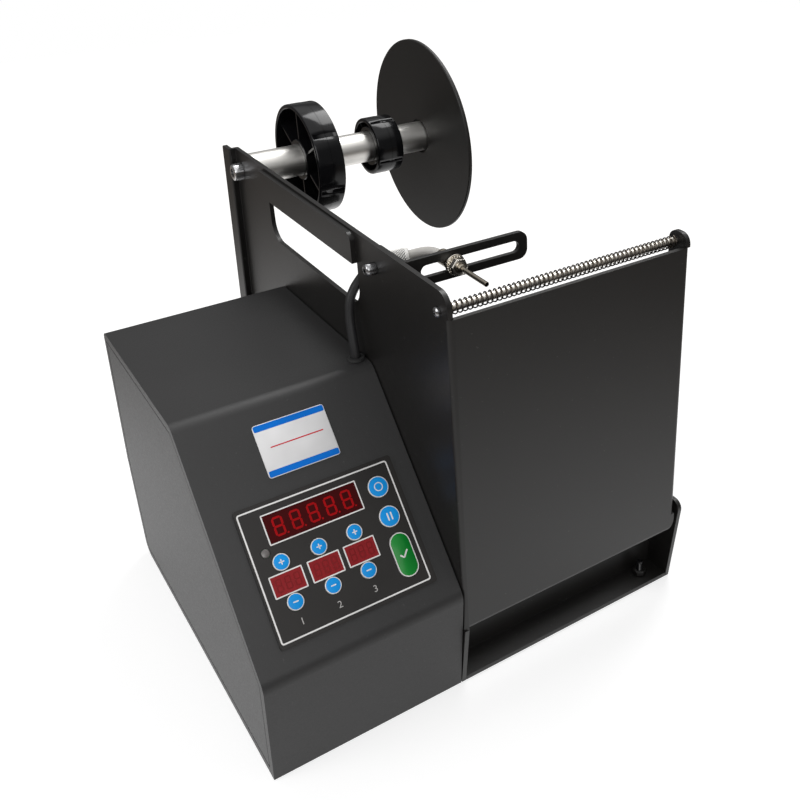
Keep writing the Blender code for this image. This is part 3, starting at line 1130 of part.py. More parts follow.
def build_drive():
    """Drive roller on its shaft, gear pair, motor and motor bracket."""
    centre = (0.0, DRIVE_Y, DRIVE_Z)
    shaft_left = GEAR_X - GAP
    rod("drive_shaft", DRIVE_SHAFT_RADIUS, shaft_left, TRAY_RIGHT_X, ALONG_X, centre,
        SMALL_STEPS, CHROME)
    bore = DRIVE_SHAFT_RADIUS + GAP
    turned("drive_roller", [
        (DRIVE_RADIUS, DRIVE_ROLLER_END_X), (DRIVE_RADIUS, DRIVE_ROLLER_START_X),
        (bore, DRIVE_ROLLER_START_X), (bore, DRIVE_ROLLER_END_X)], ALONG_X, centre, RUBBER,
        ROUND_STEPS // 2)
    drive_turn = Matrix.Rotation(math.radians(MOTOR_ANGLE), 4, "X")
    gear_plane = Matrix.Translation(centre) @ drive_turn @ SIDE
    slab("roller_gear", [gear_outline(GEAR_TEETH), circle(bore)], GEAR_X, GEAR_X + GEAR_WIDTH,
         gear_plane, PLASTIC)
    motor_y, motor_z = motor_centre()
    motor = (0.0, motor_y, motor_z)
    half_tooth = math.radians(180.0 / PINION_TEETH)
    pinion_turn = Matrix.Rotation(math.radians(MOTOR_ANGLE) + half_tooth, 4, "X")
    pinion = slab("motor_pinion", [gear_outline(PINION_TEETH)], GEAR_X, GEAR_X + GEAR_WIDTH,
                  Matrix.Translation(motor) @ pinion_turn @ SIDE, CHROME)
    motor_front = GEAR_X - MOTOR_BOSS * 3.0
    join(pinion, rod("pinion_shaft_tool", MOTOR_SHAFT_RADIUS, motor_front - MOTOR_BOSS * 2.0,
                     GEAR_X + FUSE, ALONG_X, motor))
    half = MOTOR_SIZE / 2.0
    corners = []
    for side_u, side_v in ((-1, -1), (1, -1), (1, 1), (-1, 1)):
        corners.append((side_u * half, side_v * half, MOTOR_CHAMFER))
    body = slab("feed_motor", [rounded(corners, 1)], motor_front - MOTOR_LENGTH, motor_front,
                Matrix.Translation(motor) @ SIDE, MOTOR_CAN)
    join(body, rod("motor_boss_tool", MOTOR_BOSS_RADIUS, motor_front - FUSE,
                   motor_front + MOTOR_BOSS, ALONG_X, motor))
    cut(body, rod("motor_bore_tool", MOTOR_SHAFT_RADIUS + GAP, motor_front - MOTOR_BOSS * 3.0,
                  motor_front + OVERRUN, ALONG_X, motor))
    plate_half = MOTOR_PLATE_SIZE / 2.0
    plate_start = motor_front + GAP
    plate = slab("motor_bracket", [
        box_outline(-plate_half, -plate_half, plate_half, plate_half, MOTOR_POST_RADIUS),
        circle(MOTOR_BOSS_RADIUS + GAP)], plate_start, plate_start + MOTOR_PLATE,
        Matrix.Translation(motor) @ SIDE, CHROME)
    reach = plate_half - MOTOR_POST_RADIUS - FUSE
    for index, (side_u, side_v) in enumerate(((1, -1), (1, 1), (-1, 1))):
        spot = (0.0, motor_y + side_u * reach, motor_z + side_v * reach)
        join(plate, rod("motor_post_%d_tool" % index, MOTOR_POST_RADIUS, plate_start + FUSE, -GAP,
                        ALONG_X, spot, FINE_STEPS))


def build_pinch():
    """Pinch roller on a fork that swings away from the drive roller."""
    pivot = (0.0, FORK_Y, FORK_Z)
    pinch_y, pinch_z = pinch_centre()
    rod("fork_rod", FORK_ROD_RADIUS, 0.0, TRAY_RIGHT_X, ALONG_X, pivot, SMALL_STEPS, CHROME)
    barrel = FORK_ARM_RADIUS - FUSE
    fork = rod("pinch_fork", barrel, FORK_START_X, FORK_END_X, ALONG_X, pivot)
    lift = Vector((pinch_y - FORK_Y, pinch_z - FORK_Z))
    heading = math.degrees(math.atan2(lift.y, lift.x))
    loop = arc(lift.x, lift.y, FORK_ARM_RADIUS, heading - 90.0, heading + 90.0)
    loop += arc(0.0, 0.0, FORK_ARM_RADIUS, heading + 90.0, heading + 270.0)
    for index, start in enumerate((FORK_START_X - FUSE, FORK_END_X - FORK_ARM_THICK)):
        join(fork, slab("fork_arm_%d_tool" % index, [loop], start, start + FORK_ARM_THICK + FUSE,
                        Matrix.Translation(pivot) @ SIDE))
    axle_place = (0.0, pinch_y, pinch_z)
    cut(fork,
        rod("fork_bore_tool", FORK_ROD_RADIUS + RUNNING_GAP, FORK_START_X - OVERRUN,
            FORK_END_X + OVERRUN, ALONG_X, pivot),
        rod("fork_axle_tool", PINCH_AXLE_RADIUS + GAP, FORK_START_X - OVERRUN,
            FORK_END_X + OVERRUN, ALONG_X, axle_place))
    rod("pinch_axle", PINCH_AXLE_RADIUS, FORK_START_X, FORK_END_X, ALONG_X, axle_place)
    start = FORK_START_X + FORK_ARM_THICK + PINCH_ROLLER_INSET
    end = FORK_END_X - FORK_ARM_THICK - PINCH_ROLLER_INSET
    hole = PINCH_AXLE_RADIUS + GAP
    turned("pinch_roller", [(PINCH_RADIUS, end), (PINCH_RADIUS, start), (hole, start), (hole, end)],
           ALONG_X, axle_place, RUBBER, ROUND_STEPS // 2)


def build_power():
    """Power inlet, fuse holder and rocker switch in the rear of the box, and the supply inside."""
    face = BOX_REAR_Y + GAP
    wide, high = INLET_SIZE
    inlet = blocks("power_inlet", [(
        (INLET_X - wide / 2.0, BOX_REAR_Y - INLET_DEPTH, REAR_PARTS_Z - high / 2.0),
        (INLET_X + wide / 2.0, face + FUSE, REAR_PARTS_Z + high / 2.0))], FLAT, PLASTIC)
    flange = blocks("inlet_flange_tool", [(
        (INLET_X - wide / 2.0 - INLET_FLANGE, face, REAR_PARTS_Z - high / 2.0 - INLET_FLANGE),
        (INLET_X + wide / 2.0 + INLET_FLANGE, face + INLET_FLANGE_THICK,
         REAR_PARTS_Z + high / 2.0 + INLET_FLANGE))])
    well_end = face + INLET_FLANGE_THICK
    well = blocks("inlet_well_tool", [(
        (INLET_X - wide / 2.0 + INLET_WALL, well_end - INLET_WELL, REAR_PARTS_Z - high / 2.0 + INLET_WALL),
        (INLET_X + wide / 2.0 - INLET_WALL, well_end + OVERRUN, REAR_PARTS_Z + high / 2.0 - INLET_WALL))])
    pins = []
    for shift_x, shift_z in ((-PIN_PITCH, -PIN_SIZE[0]), (0.0, PIN_SIZE[0]), (PIN_PITCH, -PIN_SIZE[0])):
        pins.append(((INLET_X + shift_x - PIN_SIZE[0] / 2.0, well_end - INLET_WELL - FUSE,
                      REAR_PARTS_Z + shift_z - PIN_SIZE[1] / 2.0),
                     (INLET_X + shift_x + PIN_SIZE[0] / 2.0, well_end - INLET_FLANGE_THICK,
                      REAR_PARTS_Z + shift_z + PIN_SIZE[1] / 2.0)))
    join(inlet, flange)
    cut(inlet, well)
    join(inlet, blocks("inlet_pins_tool", pins))
    build_rocker(face)
    holder = turned("fuse_holder", [
        (0.0, face + FUSE_CAP_HEIGHT), (FUSE_CAP_RADIUS - FUSE, face + FUSE_CAP_HEIGHT),
        (FUSE_CAP_RADIUS, face), (FUSE_RADIUS, face), (FUSE_RADIUS, BOX_REAR_Y - FUSE_DEPTH),
        (0.0, BOX_REAR_Y - FUSE_DEPTH)], ALONG_BACK, (FUSE_X, 0.0, REAR_PARTS_Z), PLASTIC,
        ROUND_STEPS // 2, closed=False)
    slot = FUSE_CAP_RADIUS / 6.0
    cut(holder, blocks("fuse_slot_tool", [(
        (FUSE_X - FUSE_CAP_RADIUS - OVERRUN, face + FUSE_CAP_HEIGHT - slot, REAR_PARTS_Z - slot / 2.0),
        (FUSE_X + FUSE_CAP_RADIUS + OVERRUN, face + FUSE_CAP_HEIGHT + OVERRUN,
         REAR_PARTS_Z + slot / 2.0))]))
    long_x, long_y, tall = SUPPLY_SIZE
    supply_x, supply_y = SUPPLY_PLACE
    low = FLOOR_PAN + GAP
    supply = block("power_supply", SUPPLY_SIZE, (supply_x, supply_y, low + tall / 2.0), FLAT,
                   MOTOR_CAN, SUPPLY_EDGE)
    strip_x, strip_y, strip_z = TERMINAL_SIZE
    join(supply, block("terminal_tool", TERMINAL_SIZE, (
        supply_x, supply_y - long_y / 2.0 - strip_y / 2.0 + FUSE, low + strip_z)))


def build_rocker(face):
    """Rocker switch: its frame in the rear wall and the rocker itself."""
    wide, high = ROCKER_SIZE
    frame = blocks("switch_frame", [(
        (ROCKER_X - wide / 2.0 - ROCKER_FRAME, BOX_REAR_Y - ROCKER_FRAME_DEPTH,
         REAR_PARTS_Z - high / 2.0 - ROCKER_FRAME),
        (ROCKER_X + wide / 2.0 + ROCKER_FRAME, face + FUSE,
         REAR_PARTS_Z + high / 2.0 + ROCKER_FRAME))], FLAT, PLASTIC)
    rim = ROCKER_FRAME * 2.0
    flange = blocks("switch_flange_tool", [(
        (ROCKER_X - wide / 2.0 - rim, face, REAR_PARTS_Z - high / 2.0 - rim),
        (ROCKER_X + wide / 2.0 + rim, face + ROCKER_FRAME / 2.0, REAR_PARTS_Z + high / 2.0 + rim))])
    well = blocks("switch_well_tool", [(
        (ROCKER_X - wide / 2.0, BOX_REAR_Y - ROCKER_FRAME_DEPTH + ROCKER_FRAME / 2.0,
         REAR_PARTS_Z - high / 2.0),
        (ROCKER_X + wide / 2.0, face + ROCKER_FRAME / 2.0 + OVERRUN, REAR_PARTS_Z + high / 2.0))])
    join(frame, flange)
    cut(frame, well)
    radius = high / 2.0 - GAP
    tilt = ROCKER_TILT
    section = [(FUSE, 0.0)]
    section += arc(0.0, 0.0, radius, 90.0 - tilt, 270.0 + tilt, FINE_STEPS * 2)
    swing = Matrix.Rotation(math.radians(-tilt), 4, "X")
    slab("rocker", [section], -wide / 2.0 + GAP, wide / 2.0 - GAP,
         Matrix.Translation((ROCKER_X, face, REAR_PARTS_Z)) @ swing @ SIDE, PLASTIC)


def centre_machine():
    """Move the machine so that its origin lies under the middle of its outer box."""
    origin = bpy.data.objects.new("machine_origin", None)
    origin.location = (-BOX_MID_X, -BOX_MID_Y, 0.0)
    bpy.context.scene.collection.objects.link(origin)
    for collection in (MACHINE, CUTTERS):
        for item in collection.objects:
            item.parent = origin


def main():
    """Build the machine, sub-assembly by sub-assembly."""
    build_side_frame()
    build_base_tray()
    build_box()
    build_panel()
    build_shaft()
    build_wheel("big_core_wheel", BIG_WHEEL_X, BIG_WHEEL_WIDTH, BIG_WHEEL_RADIUS, BIG_RIBS)
    build_wheel("small_core_wheel", SMALL_WHEEL_X, SMALL_WHEEL_WIDTH, SMALL_WHEEL_RADIUS, SMALL_RIBS)
    build_disc()
    build_bracket()
    build_sensor()
    build_leads()
    build_guide_rod()
    build_drive()
    build_pinch()
    build_power()
    centre_machine()


main()
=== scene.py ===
"""Label dispenser machine: every visible piece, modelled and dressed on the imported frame."""

import logging
import math
from dataclasses import dataclass
from enum import Enum
from typing import Callable, Sequence

import bpy
from mathutils import Matrix, Vector


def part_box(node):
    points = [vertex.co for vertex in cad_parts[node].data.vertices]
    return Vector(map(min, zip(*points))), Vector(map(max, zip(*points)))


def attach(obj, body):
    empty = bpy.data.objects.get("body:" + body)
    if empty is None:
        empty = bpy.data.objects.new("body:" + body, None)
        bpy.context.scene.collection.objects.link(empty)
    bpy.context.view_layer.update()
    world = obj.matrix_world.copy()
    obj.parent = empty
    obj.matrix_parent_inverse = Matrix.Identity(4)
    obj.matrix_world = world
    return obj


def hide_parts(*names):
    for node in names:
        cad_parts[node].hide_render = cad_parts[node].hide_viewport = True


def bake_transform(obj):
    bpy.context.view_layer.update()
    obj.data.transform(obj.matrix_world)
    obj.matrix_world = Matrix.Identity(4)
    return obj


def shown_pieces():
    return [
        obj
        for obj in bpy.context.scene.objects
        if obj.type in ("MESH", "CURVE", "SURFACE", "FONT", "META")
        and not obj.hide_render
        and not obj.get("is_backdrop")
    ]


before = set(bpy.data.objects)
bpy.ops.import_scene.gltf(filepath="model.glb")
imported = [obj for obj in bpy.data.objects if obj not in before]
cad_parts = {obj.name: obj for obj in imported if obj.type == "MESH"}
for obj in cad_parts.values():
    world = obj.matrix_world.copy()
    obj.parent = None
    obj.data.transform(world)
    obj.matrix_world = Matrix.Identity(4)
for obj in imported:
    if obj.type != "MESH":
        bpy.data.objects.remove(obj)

LOG = logging.getLogger("label_dispenser")
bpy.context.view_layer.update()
MM = 0.001
SHIFT = Vector((-20.25, -149.4, 0.0))
ORIGIN = (0.0, 0.0, 0.0)
SMOOTH_ANGLE = math.radians(32.0)
HEXAGON = 6
Colour = tuple[float, float, float]
Face = bpy.types.MeshPolygon
Piece = bpy.types.Object
Socket = bpy.types.NodeSocket


def at(x: float, y: float, z: float) -> Vector:
    """Turn a point of the drawing, in millimetres, into a point of the frame, in metres."""
    return (Vector((x, y, z)) + SHIFT) * MM


def abreast(x: float, y: float, z: float) -> Vector:
    """Give a point from its x in the frame, in metres, and its y and z in the drawing."""
    return Vector((x, at(0.0, y, 0.0).y, z * MM))


def aimed(centre: Vector, way: Vector) -> Matrix:
    """Give the matrix that lays a piece's own Z along a way, from a centre."""
    return Matrix.Translation(centre) @ way.to_track_quat("Z", "Y").to_matrix().to_4x4()


def linked(item: Piece) -> Piece:
    """Put an object in the scene."""
    bpy.context.scene.collection.objects.link(item)
    return item


def named(piece: Piece, name: str) -> Piece:
    """Name a piece and its mesh."""
    piece.name = piece.data.name = name
    return piece


def bearing(face: Face) -> float:
    """Give the direction of a face's middle round a piece's own Z, in degrees."""
    return math.degrees(math.atan2(face.center.y, face.center.x))


class Axis(Enum):
    """Directions that pieces are laid along."""

    RIGHT = (1.0, 0.0, 0.0)
    LEFT = (-1.0, 0.0, 0.0)
    FRONT = (0.0, -1.0, 0.0)
    UP = (0.0, 0.0, 1.0)

    def placed(self, centre: Vector) -> Matrix:
        """Give the matrix that lays a piece's own Z along this direction, from a centre."""
        return aimed(centre, Vector(self.value))


class Slope:
    """The sloping face of the electronics box, with x along it and s up it."""

    ANGLE = math.radians(48.7)
    FOOT = at(0.0, -7.5, 64.5)
    RISE = Vector((0.0, 84.0, 95.5)).normalized()
    OUT = Vector((0.0, -95.5, 84.0)).normalized()

    @classmethod
    def placed(cls, x: float, s: float, height: float) -> Matrix:
        """Give the matrix of a spot on the slope.

        Args:
            x: place across the slope, in millimetres of the drawing.
            s: place up the slope, in millimetres from its lower bend.
            height: how far the spot stands off the slope, in millimetres.

        Returns:
            A matrix whose Z points out of the slope and whose Y points up it.
        """
        turn = Matrix((Vector((1.0, 0.0, 0.0)), cls.RISE, cls.OUT)).transposed().to_4x4()
        across = Vector((x * MM, 0.0, 0.0))
        spot = cls.FOOT + across + cls.RISE * (s * MM) + cls.OUT * (height * MM)
        return Matrix.Translation(spot) @ turn


class Wiring:
    """Node tree, put together a node at a time."""

    def __init__(self, tree: bpy.types.NodeTree) -> None:
        """Empty a tree to start anew."""
        self.tree = tree
        self.tree.nodes.clear()

    def node(self, kind: str) -> bpy.types.Node:
        """Add a node of a kind."""
        return self.tree.nodes.new(kind)

    def link(self, source: Socket, target: Socket) -> None:
        """Join an output to an input."""
        self.tree.links.new(source, target)

    def span(self, source: Socket, low: float, high: float,
             start: float = 0.25, end: float = 0.75) -> Socket:
        """Map a pattern's middle range onto the span from low to high.

        Args:
            source: the pattern.
            low: what the start of the range becomes.
            high: what the end of the range becomes.
            start: where the range starts.
            end: where the range ends.

        Returns:
            The mapped pattern.
        """
        span = self.node("ShaderNodeMapRange")
        for name, value in zip(("From Min", "From Max", "To Min", "To Max"),
                               (start, end, low, high)):
            span.inputs[name].default_value = value
        self.link(source, span.inputs["Value"])
        return span.outputs["Result"]

    def greater(self, first: Socket, second: Socket) -> Socket:
        """Give the greater of two factors.

        Args:
            first: one factor.
            second: the other factor.

        Returns:
            The greater factor.
        """
        either = self.node("ShaderNodeMath")
        either.operation = "MAXIMUM"
        self.link(first, either.inputs[0])
        self.link(second, either.inputs[1])
        return either.outputs[0]

    def seen_ray(self) -> Socket:
        """Give a factor that is one for camera, glossy and transmission rays.

        Returns:
            The factor.
        """
        rays = self.node("ShaderNodeLightPath").outputs
        total = rays["Is Camera Ray"]
        for name in ("Is Glossy Ray", "Is Transmission Ray"):
            total = self.greater(total, rays[name])
        return total


class Graph(Wiring):
    """Shader graph of one finish."""

    def __init__(self, label: str) -> None:
        """Start a material with one principled shader and its output.

        Args:
            label: the material's name.
        """
        self.material = bpy.data.materials.new(label)
        self.material.use_nodes = True
        super().__init__(self.material.node_tree)
        self.output = self.node("ShaderNodeOutputMaterial")
        self.shader = self.node("ShaderNodeBsdfPrincipled")
        self.link(self.shader.outputs[0], self.output.inputs["Surface"])
        self.spot = self.node("ShaderNodeTexCoord").outputs["Object"]

    def stretched(self, scale: Sequence[float], turn: Sequence[float] = (0.0, 0.0, 0.0)) -> Socket:
        """Give object coordinates, stretched and turned for a pattern.

        Args:
            scale: how much each axis is stretched.
            turn: how far the pattern is turned about each axis, in radians.

        Returns:
            The coordinates.
        """
        mapping = self.node("ShaderNodeMapping")
        mapping.inputs["Rotation"].default_value = turn
        mapping.inputs["Scale"].default_value = scale
        self.link(self.spot, mapping.inputs["Vector"])
        return mapping.outputs["Vector"]

    def noise(self, scale: float, detail: float = 3.0, spot: Socket | None = None) -> Socket:
        """Give a noise pattern.

        Args:
            scale: how fine the pattern is, in cells to the metre.
            detail: how many finer layers it has.
            spot: the coordinates that it reads, where they aren't the plain ones.

        Returns:
            The pattern.
        """
        noise = self.node("ShaderNodeTexNoise")
        noise.inputs["Scale"].default_value = scale
        noise.inputs["Detail"].default_value = detail
        self.link(spot or self.spot, noise.inputs["Vector"])
        return noise.outputs["Fac"]

    def blend(self, factor: Socket, first: Colour | Socket, second: Colour | Socket) -> Socket:
        """Mix two colours, or patterns of colour.

        Args:
            factor: the share of the second one.
            first: a colour or pattern.
            second: a colour or pattern.

        Returns:
            The mixed pattern.
        """
        mix = self.node("ShaderNodeMix")
        mix.data_type = "RGBA"
        self.link(factor, mix.inputs["Factor"])
        for value, socket in ((first, mix.inputs[6]), (second, mix.inputs[7])):
            if isinstance(value, bpy.types.NodeSocket):
                self.link(value, socket)
            else:
                socket.default_value = (*value, 1.0)
        return mix.outputs[2]

    def mottled(self, pattern: Socket, colour: Colour, dark: float, light: float) -> Socket:
        """Let a colour run between a dark and a light share of itself with a pattern."""
        return self.blend(self.span(pattern, 0.0, 1.0), tinted(colour, dark), tinted(colour, light))

    def relief(self, *layers: tuple[Socket, float, float]) -> None:
        """Lay bumps on each other.

        Args:
            layers: the pattern, strength and height in millimetres of each bump.
        """
        normal = None
        for height, strength, distance in layers:
            bump = self.node("ShaderNodeBump")
            bump.inputs["Strength"].default_value = strength
            bump.inputs["Distance"].default_value = distance * MM
            self.link(height, bump.inputs["Height"])
            if normal is not None:
                self.link(normal, bump.inputs["Normal"])
            normal = bump.outputs["Normal"]
        self.link(normal, self.shader.inputs["Normal"])

    def wear(self, colour: Socket, roughness: Socket) -> None:
        """Join the colour and roughness patterns to the shader."""
        self.link(colour, self.shader.inputs["Base Color"])
        self.link(roughness, self.shader.inputs["Roughness"])


def tinted(colour: Colour, share: float) -> Colour:
    """Give a colour made lighter or darker by a share."""
    return tuple(min(1.0, channel * share) for channel in colour)


@dataclass(frozen=True)
class Finish:
    """What every finish has: its label, colour and how glossy it is."""

    label: str
    colour: Colour
    roughness: float
    specular: float = 0.5
    coat: float = 0.0
    coat_roughness: float = 0.08

    def material(self) -> bpy.types.Material:
        """Give the finish's material, made the first time that a piece wears it.

        Returns:
            The material.
        """
        found = bpy.data.materials.get(self.label + "_finish")
        if found is None:
            graph = Graph(self.label + "_finish")
            for name, value in (("Base Color", (*self.colour, 1.0)), ("Roughness", self.roughness),
                                ("Specular IOR Level", self.specular), ("Coat Weight", self.coat),
                                ("Coat Roughness", self.coat_roughness)):
                graph.shader.inputs[name].default_value = value
            self.detail(graph)
            found = graph.material
        return found

    def detail(self, graph: Graph) -> None:
        """Add the pattern that sets this kind of finish apart."""
        raise NotImplementedError


@dataclass(frozen=True)
class PowderCoat(Finish):
    """Baked powder coat: fine orange peel, faint clouding and specks of dust."""

    grain: float = 2600.0
    depth: float = 0.02
    dust: float = 0.0
    peel_share: float = 3.5
    clouds: float = 14.0
    specks: float = 520.0
    speck_colour: Colour = (0.30, 0.29, 0.28)

    def detail(self, graph: Graph) -> None:
        """Add the peel, grain, clouds and dust.

        Args:
            graph: the finish's shader graph.
        """
        grain = graph.noise(self.grain, 2.0)
        peel = graph.noise(self.grain / self.peel_share, 1.0)
        body = graph.mottled(graph.noise(self.clouds, 2.0), self.colour, 0.86, 1.14)
        dust = graph.span(graph.noise(self.specks, 2.0), 0.0, self.dust, 0.70, 0.76)
        body = graph.blend(dust, body, self.speck_colour)
        graph.wear(body, graph.span(grain, self.roughness - 0.05, self.roughness + 0.07))
        graph.relief((peel, 0.35, self.depth * 1.6), (grain, 0.5, self.depth))


@dataclass(frozen=True)
class Metal(Finish):
    """Bare or plated metal with fine lines drawn along one direction."""

    lines: Sequence[float] = (300.0, 300.0, 300.0)
    depth: float = 0.004
    stain: float = 0.82
    clouds: float = 70.0

    def detail(self, graph: Graph) -> None:
        """Add the drawn lines and clouded lustre.

        Args:
            graph: the finish's shader graph.
        """
        graph.shader.inputs["Metallic"].default_value = 1.0
        drawn = graph.noise(6.0, 3.0, graph.stretched(self.lines))
        body = graph.mottled(graph.noise(self.clouds, 2.0), self.colour, self.stain, 1.0)
        graph.wear(body, graph.span(drawn, self.roughness - 0.05, self.roughness + 0.08))
        graph.relief((drawn, 0.4, self.depth))


@dataclass(frozen=True)
class Moulded(Finish):
    """Moulded plastic or rubber: fine skin, flow clouds and slight gloss changes."""

    grain: float = 900.0
    depth: float = 0.006
    flow: float = 45.0

    def detail(self, graph: Graph) -> None:
        """Add the skin and flow clouds.

        Args:
            graph: the finish's shader graph.
        """
        skin = graph.noise(self.grain, 2.0)
        flow = graph.noise(self.flow, 2.0)
        body = graph.mottled(flow, self.colour, 0.88, 1.1)
        graph.wear(body, graph.span(flow, self.roughness - 0.04, self.roughness + 0.06))
        graph.relief((skin, 0.4, self.depth))


@dataclass(frozen=True)
class Knurled(Finish):
    """Knurled plastic, its grooves darkened with painted shade."""

    # Painted shade: the dark colour laid in the knurl's grooves.
    groove: Colour = (0.085, 0.080, 0.076)
    grain: float = 1500.0
    depth: float = 0.006

    def detail(self, graph: Graph) -> None:
        """Paint shade into the grooves, by the share of each point that stands proud.

        Args:
            graph: the finish's shader graph.
        """
        proud = graph.node("ShaderNodeAttribute")
        proud.attribute_name = "proud"
        skin = graph.noise(self.grain, 2.0)
        light = graph.span(proud.outputs["Fac"], 0.0, 1.0, 0.05, 0.50)
        graph.wear(graph.blend(light, self.groove, self.colour),
                   graph.span(skin, self.roughness, self.roughness + 0.12))
        graph.relief((skin, 0.3, self.depth))


@dataclass(frozen=True)
class Window(Finish):
    """Tinted display window with the faint stripes of the filter behind it."""

    stripes: Sequence[float] = (900.0, 40.0, 40.0)
    clouds: float = 60.0
    depth: float = 0.01

    def detail(self, graph: Graph) -> None:
        """Add the filter's stripes and a soft cloud.

        Args:
            graph: the finish's shader graph.
        """
        stripes = graph.noise(5.0, 1.0, graph.stretched(self.stripes))
        cloud = graph.noise(self.clouds, 1.0)
        graph.wear(graph.mottled(stripes, self.colour, 0.84, 1.12),
                   graph.span(cloud, self.roughness, self.roughness + 0.06))
        graph.relief((cloud, 0.15, self.depth))


@dataclass(frozen=True)
class BoardMask(Finish):
    """Solder mask over copper tracks."""

    track: Colour = (0.10, 0.36, 0.12)
    tracks: float = 90.0
    track_width: float = 0.035
    weave: float = 1400.0
    depth: float = 0.01

    def detail(self, graph: Graph) -> None:
        """Add tracks that run in steps, under a glossy mask.

        Args:
            graph: the finish's shader graph.
        """
        bricks = graph.node("ShaderNodeTexBrick")
        for name, value in (("Scale", self.tracks), ("Mortar Size", self.track_width),
                            ("Color1", (*self.colour, 1.0)), ("Mortar", (*self.track, 1.0)),
                            ("Color2", (*tinted(self.colour, 1.3), 1.0))):
            bricks.inputs[name].default_value = value
        graph.link(graph.stretched((1.0, 1.0, 1.0), (Slope.ANGLE, 0.0, 0.0)),
                   bricks.inputs["Vector"])
        weave = graph.noise(self.weave, 1.0)
        graph.wear(bricks.outputs["Color"],
                   graph.span(weave, self.roughness, self.roughness + 0.15))
        graph.relief((weave, 0.3, self.depth))


BLACK_COAT = PowderCoat("black_powder_coat", (0.0068, 0.0062, 0.0057), 0.38, grain=3000.0,
                        depth=0.008, dust=0.10)
BOX_COAT = PowderCoat("charcoal_coat", (0.0160, 0.0156, 0.0158), 0.46, grain=1250.0,
                      depth=0.055, dust=0.05)
DISC_COAT = PowderCoat("disc_coat", (0.0070, 0.0062, 0.0054), 0.50, 0.44, depth=0.01)
TUBE_SATIN = Metal("satin_aluminium", (0.90, 0.88, 0.84), 0.36, lines=(12.0, 420.0, 420.0),
                   stain=0.9)
ZINC = Metal("plated_screw_zinc", (0.40, 0.40, 0.41), 0.22, lines=(500.0, 500.0, 500.0),
             depth=0.003)
CHROME = Metal("bright_chrome", (0.80, 0.80, 0.81), 0.14, lines=(900.0, 60.0, 60.0),
               depth=0.002, stain=0.9)
NICKEL = Metal("nickel_plate", (0.74, 0.70, 0.63), 0.20, lines=(80.0, 700.0, 700.0),
               depth=0.003)
ROD_STEEL = Metal("polished_rod_steel", (0.92, 0.88, 0.80), 0.28, lines=(60.0, 700.0, 700.0),
                  depth=0.002, stain=0.9)
NEEDLE_STEEL = Metal("bronzed_needle_steel", (0.40, 0.36, 0.30), 0.22,
                     lines=(700.0, 80.0, 700.0), depth=0.002)
SPRING_STEEL = Metal("dark_spring_steel", (0.10, 0.085, 0.07), 0.33,
                     lines=(400.0, 400.0, 400.0), depth=0.003)
CAN_STEEL = Metal("motor_can", (0.34, 0.34, 0.35), 0.38, lines=(20.0, 500.0, 500.0))
BLACK_GLOSS = Moulded("gloss_black_plastic", (0.0045, 0.0045, 0.0052), 0.13, 0.28, coat=0.05,
                      grain=500.0, depth=0.003)
BLACK_MATT = Moulded("matt_black_plastic", (0.020, 0.020, 0.021), 0.46, grain=2000.0,
                     depth=0.015)
RUBBER = Moulded("black_rubber", (0.018, 0.018, 0.018), 0.68, 0.35, grain=1500.0, depth=0.02)
FILM = Moulded("keypad_film", (0.0150, 0.0132, 0.0122), 0.36, 0.32, grain=3200.0)
KEY_BLUE = Moulded("blue_key", (0.006, 0.285, 0.740), 0.36, 0.16, grain=1200.0, depth=0.003)
KEY_GREEN = Moulded("green_key", (0.002, 0.215, 0.024), 0.32, 0.25, coat=0.05, grain=1200.0,
                    depth=0.003)
PRINT_WHITE = Moulded("white_print", (0.74, 0.73, 0.72), 0.42, 0.4, grain=2600.0, depth=0.004)
PRINT_GREY = Moulded("grey_print", (0.42, 0.41, 0.40), 0.50, 0.3, grain=2600.0, depth=0.004)
EYE_GREY = Moulded("grey_eye", (0.115, 0.105, 0.10), 0.30, coat=0.5, depth=0.01)
BADGE_FACE = Moulded("badge_face", (0.74, 0.735, 0.74), 0.36, 0.35, coat=0.05, grain=700.0,
                     depth=0.004)
BADGE_BLUE = Moulded("badge_blue", (0.0015, 0.155, 0.620), 0.36, 0.12, depth=0.003)
BADGE_RED = Moulded("badge_red", (0.56, 0.003, 0.016), 0.34, 0.2, depth=0.003)
COUNTER_RED = Window("counter_window", (0.050, 0.0008, 0.0014), 0.30, 0.08)
SMALL_RED = Window("small_window", (0.250, 0.0100, 0.0135), 0.24, 0.18)
DIGIT_RED = Moulded("lit_segment", (0.340, 0.002, 0.004), 0.34, 0.08, depth=0.002)
FAINT_RED = Moulded("faint_segment", (0.185, 0.0070, 0.0090), 0.32, 0.15, depth=0.002)
LEAD_GREY = Moulded("grey_lead_jacket", (0.48, 0.465, 0.44), 0.40, 0.45, grain=700.0, depth=0.01)
# The knurled sleeve's finish, its grooves darkened with painted shade.
SLEEVE_GREY = Knurled("grey_knurled_sleeve", (0.88, 0.87, 0.84), 0.34)
LEAD_BLACK = Moulded("black_lead_jacket", (0.018, 0.018, 0.019), 0.42, 0.4, depth=0.01)
BOARD = BoardMask("board_green", (0.012, 0.13, 0.045), 0.26)


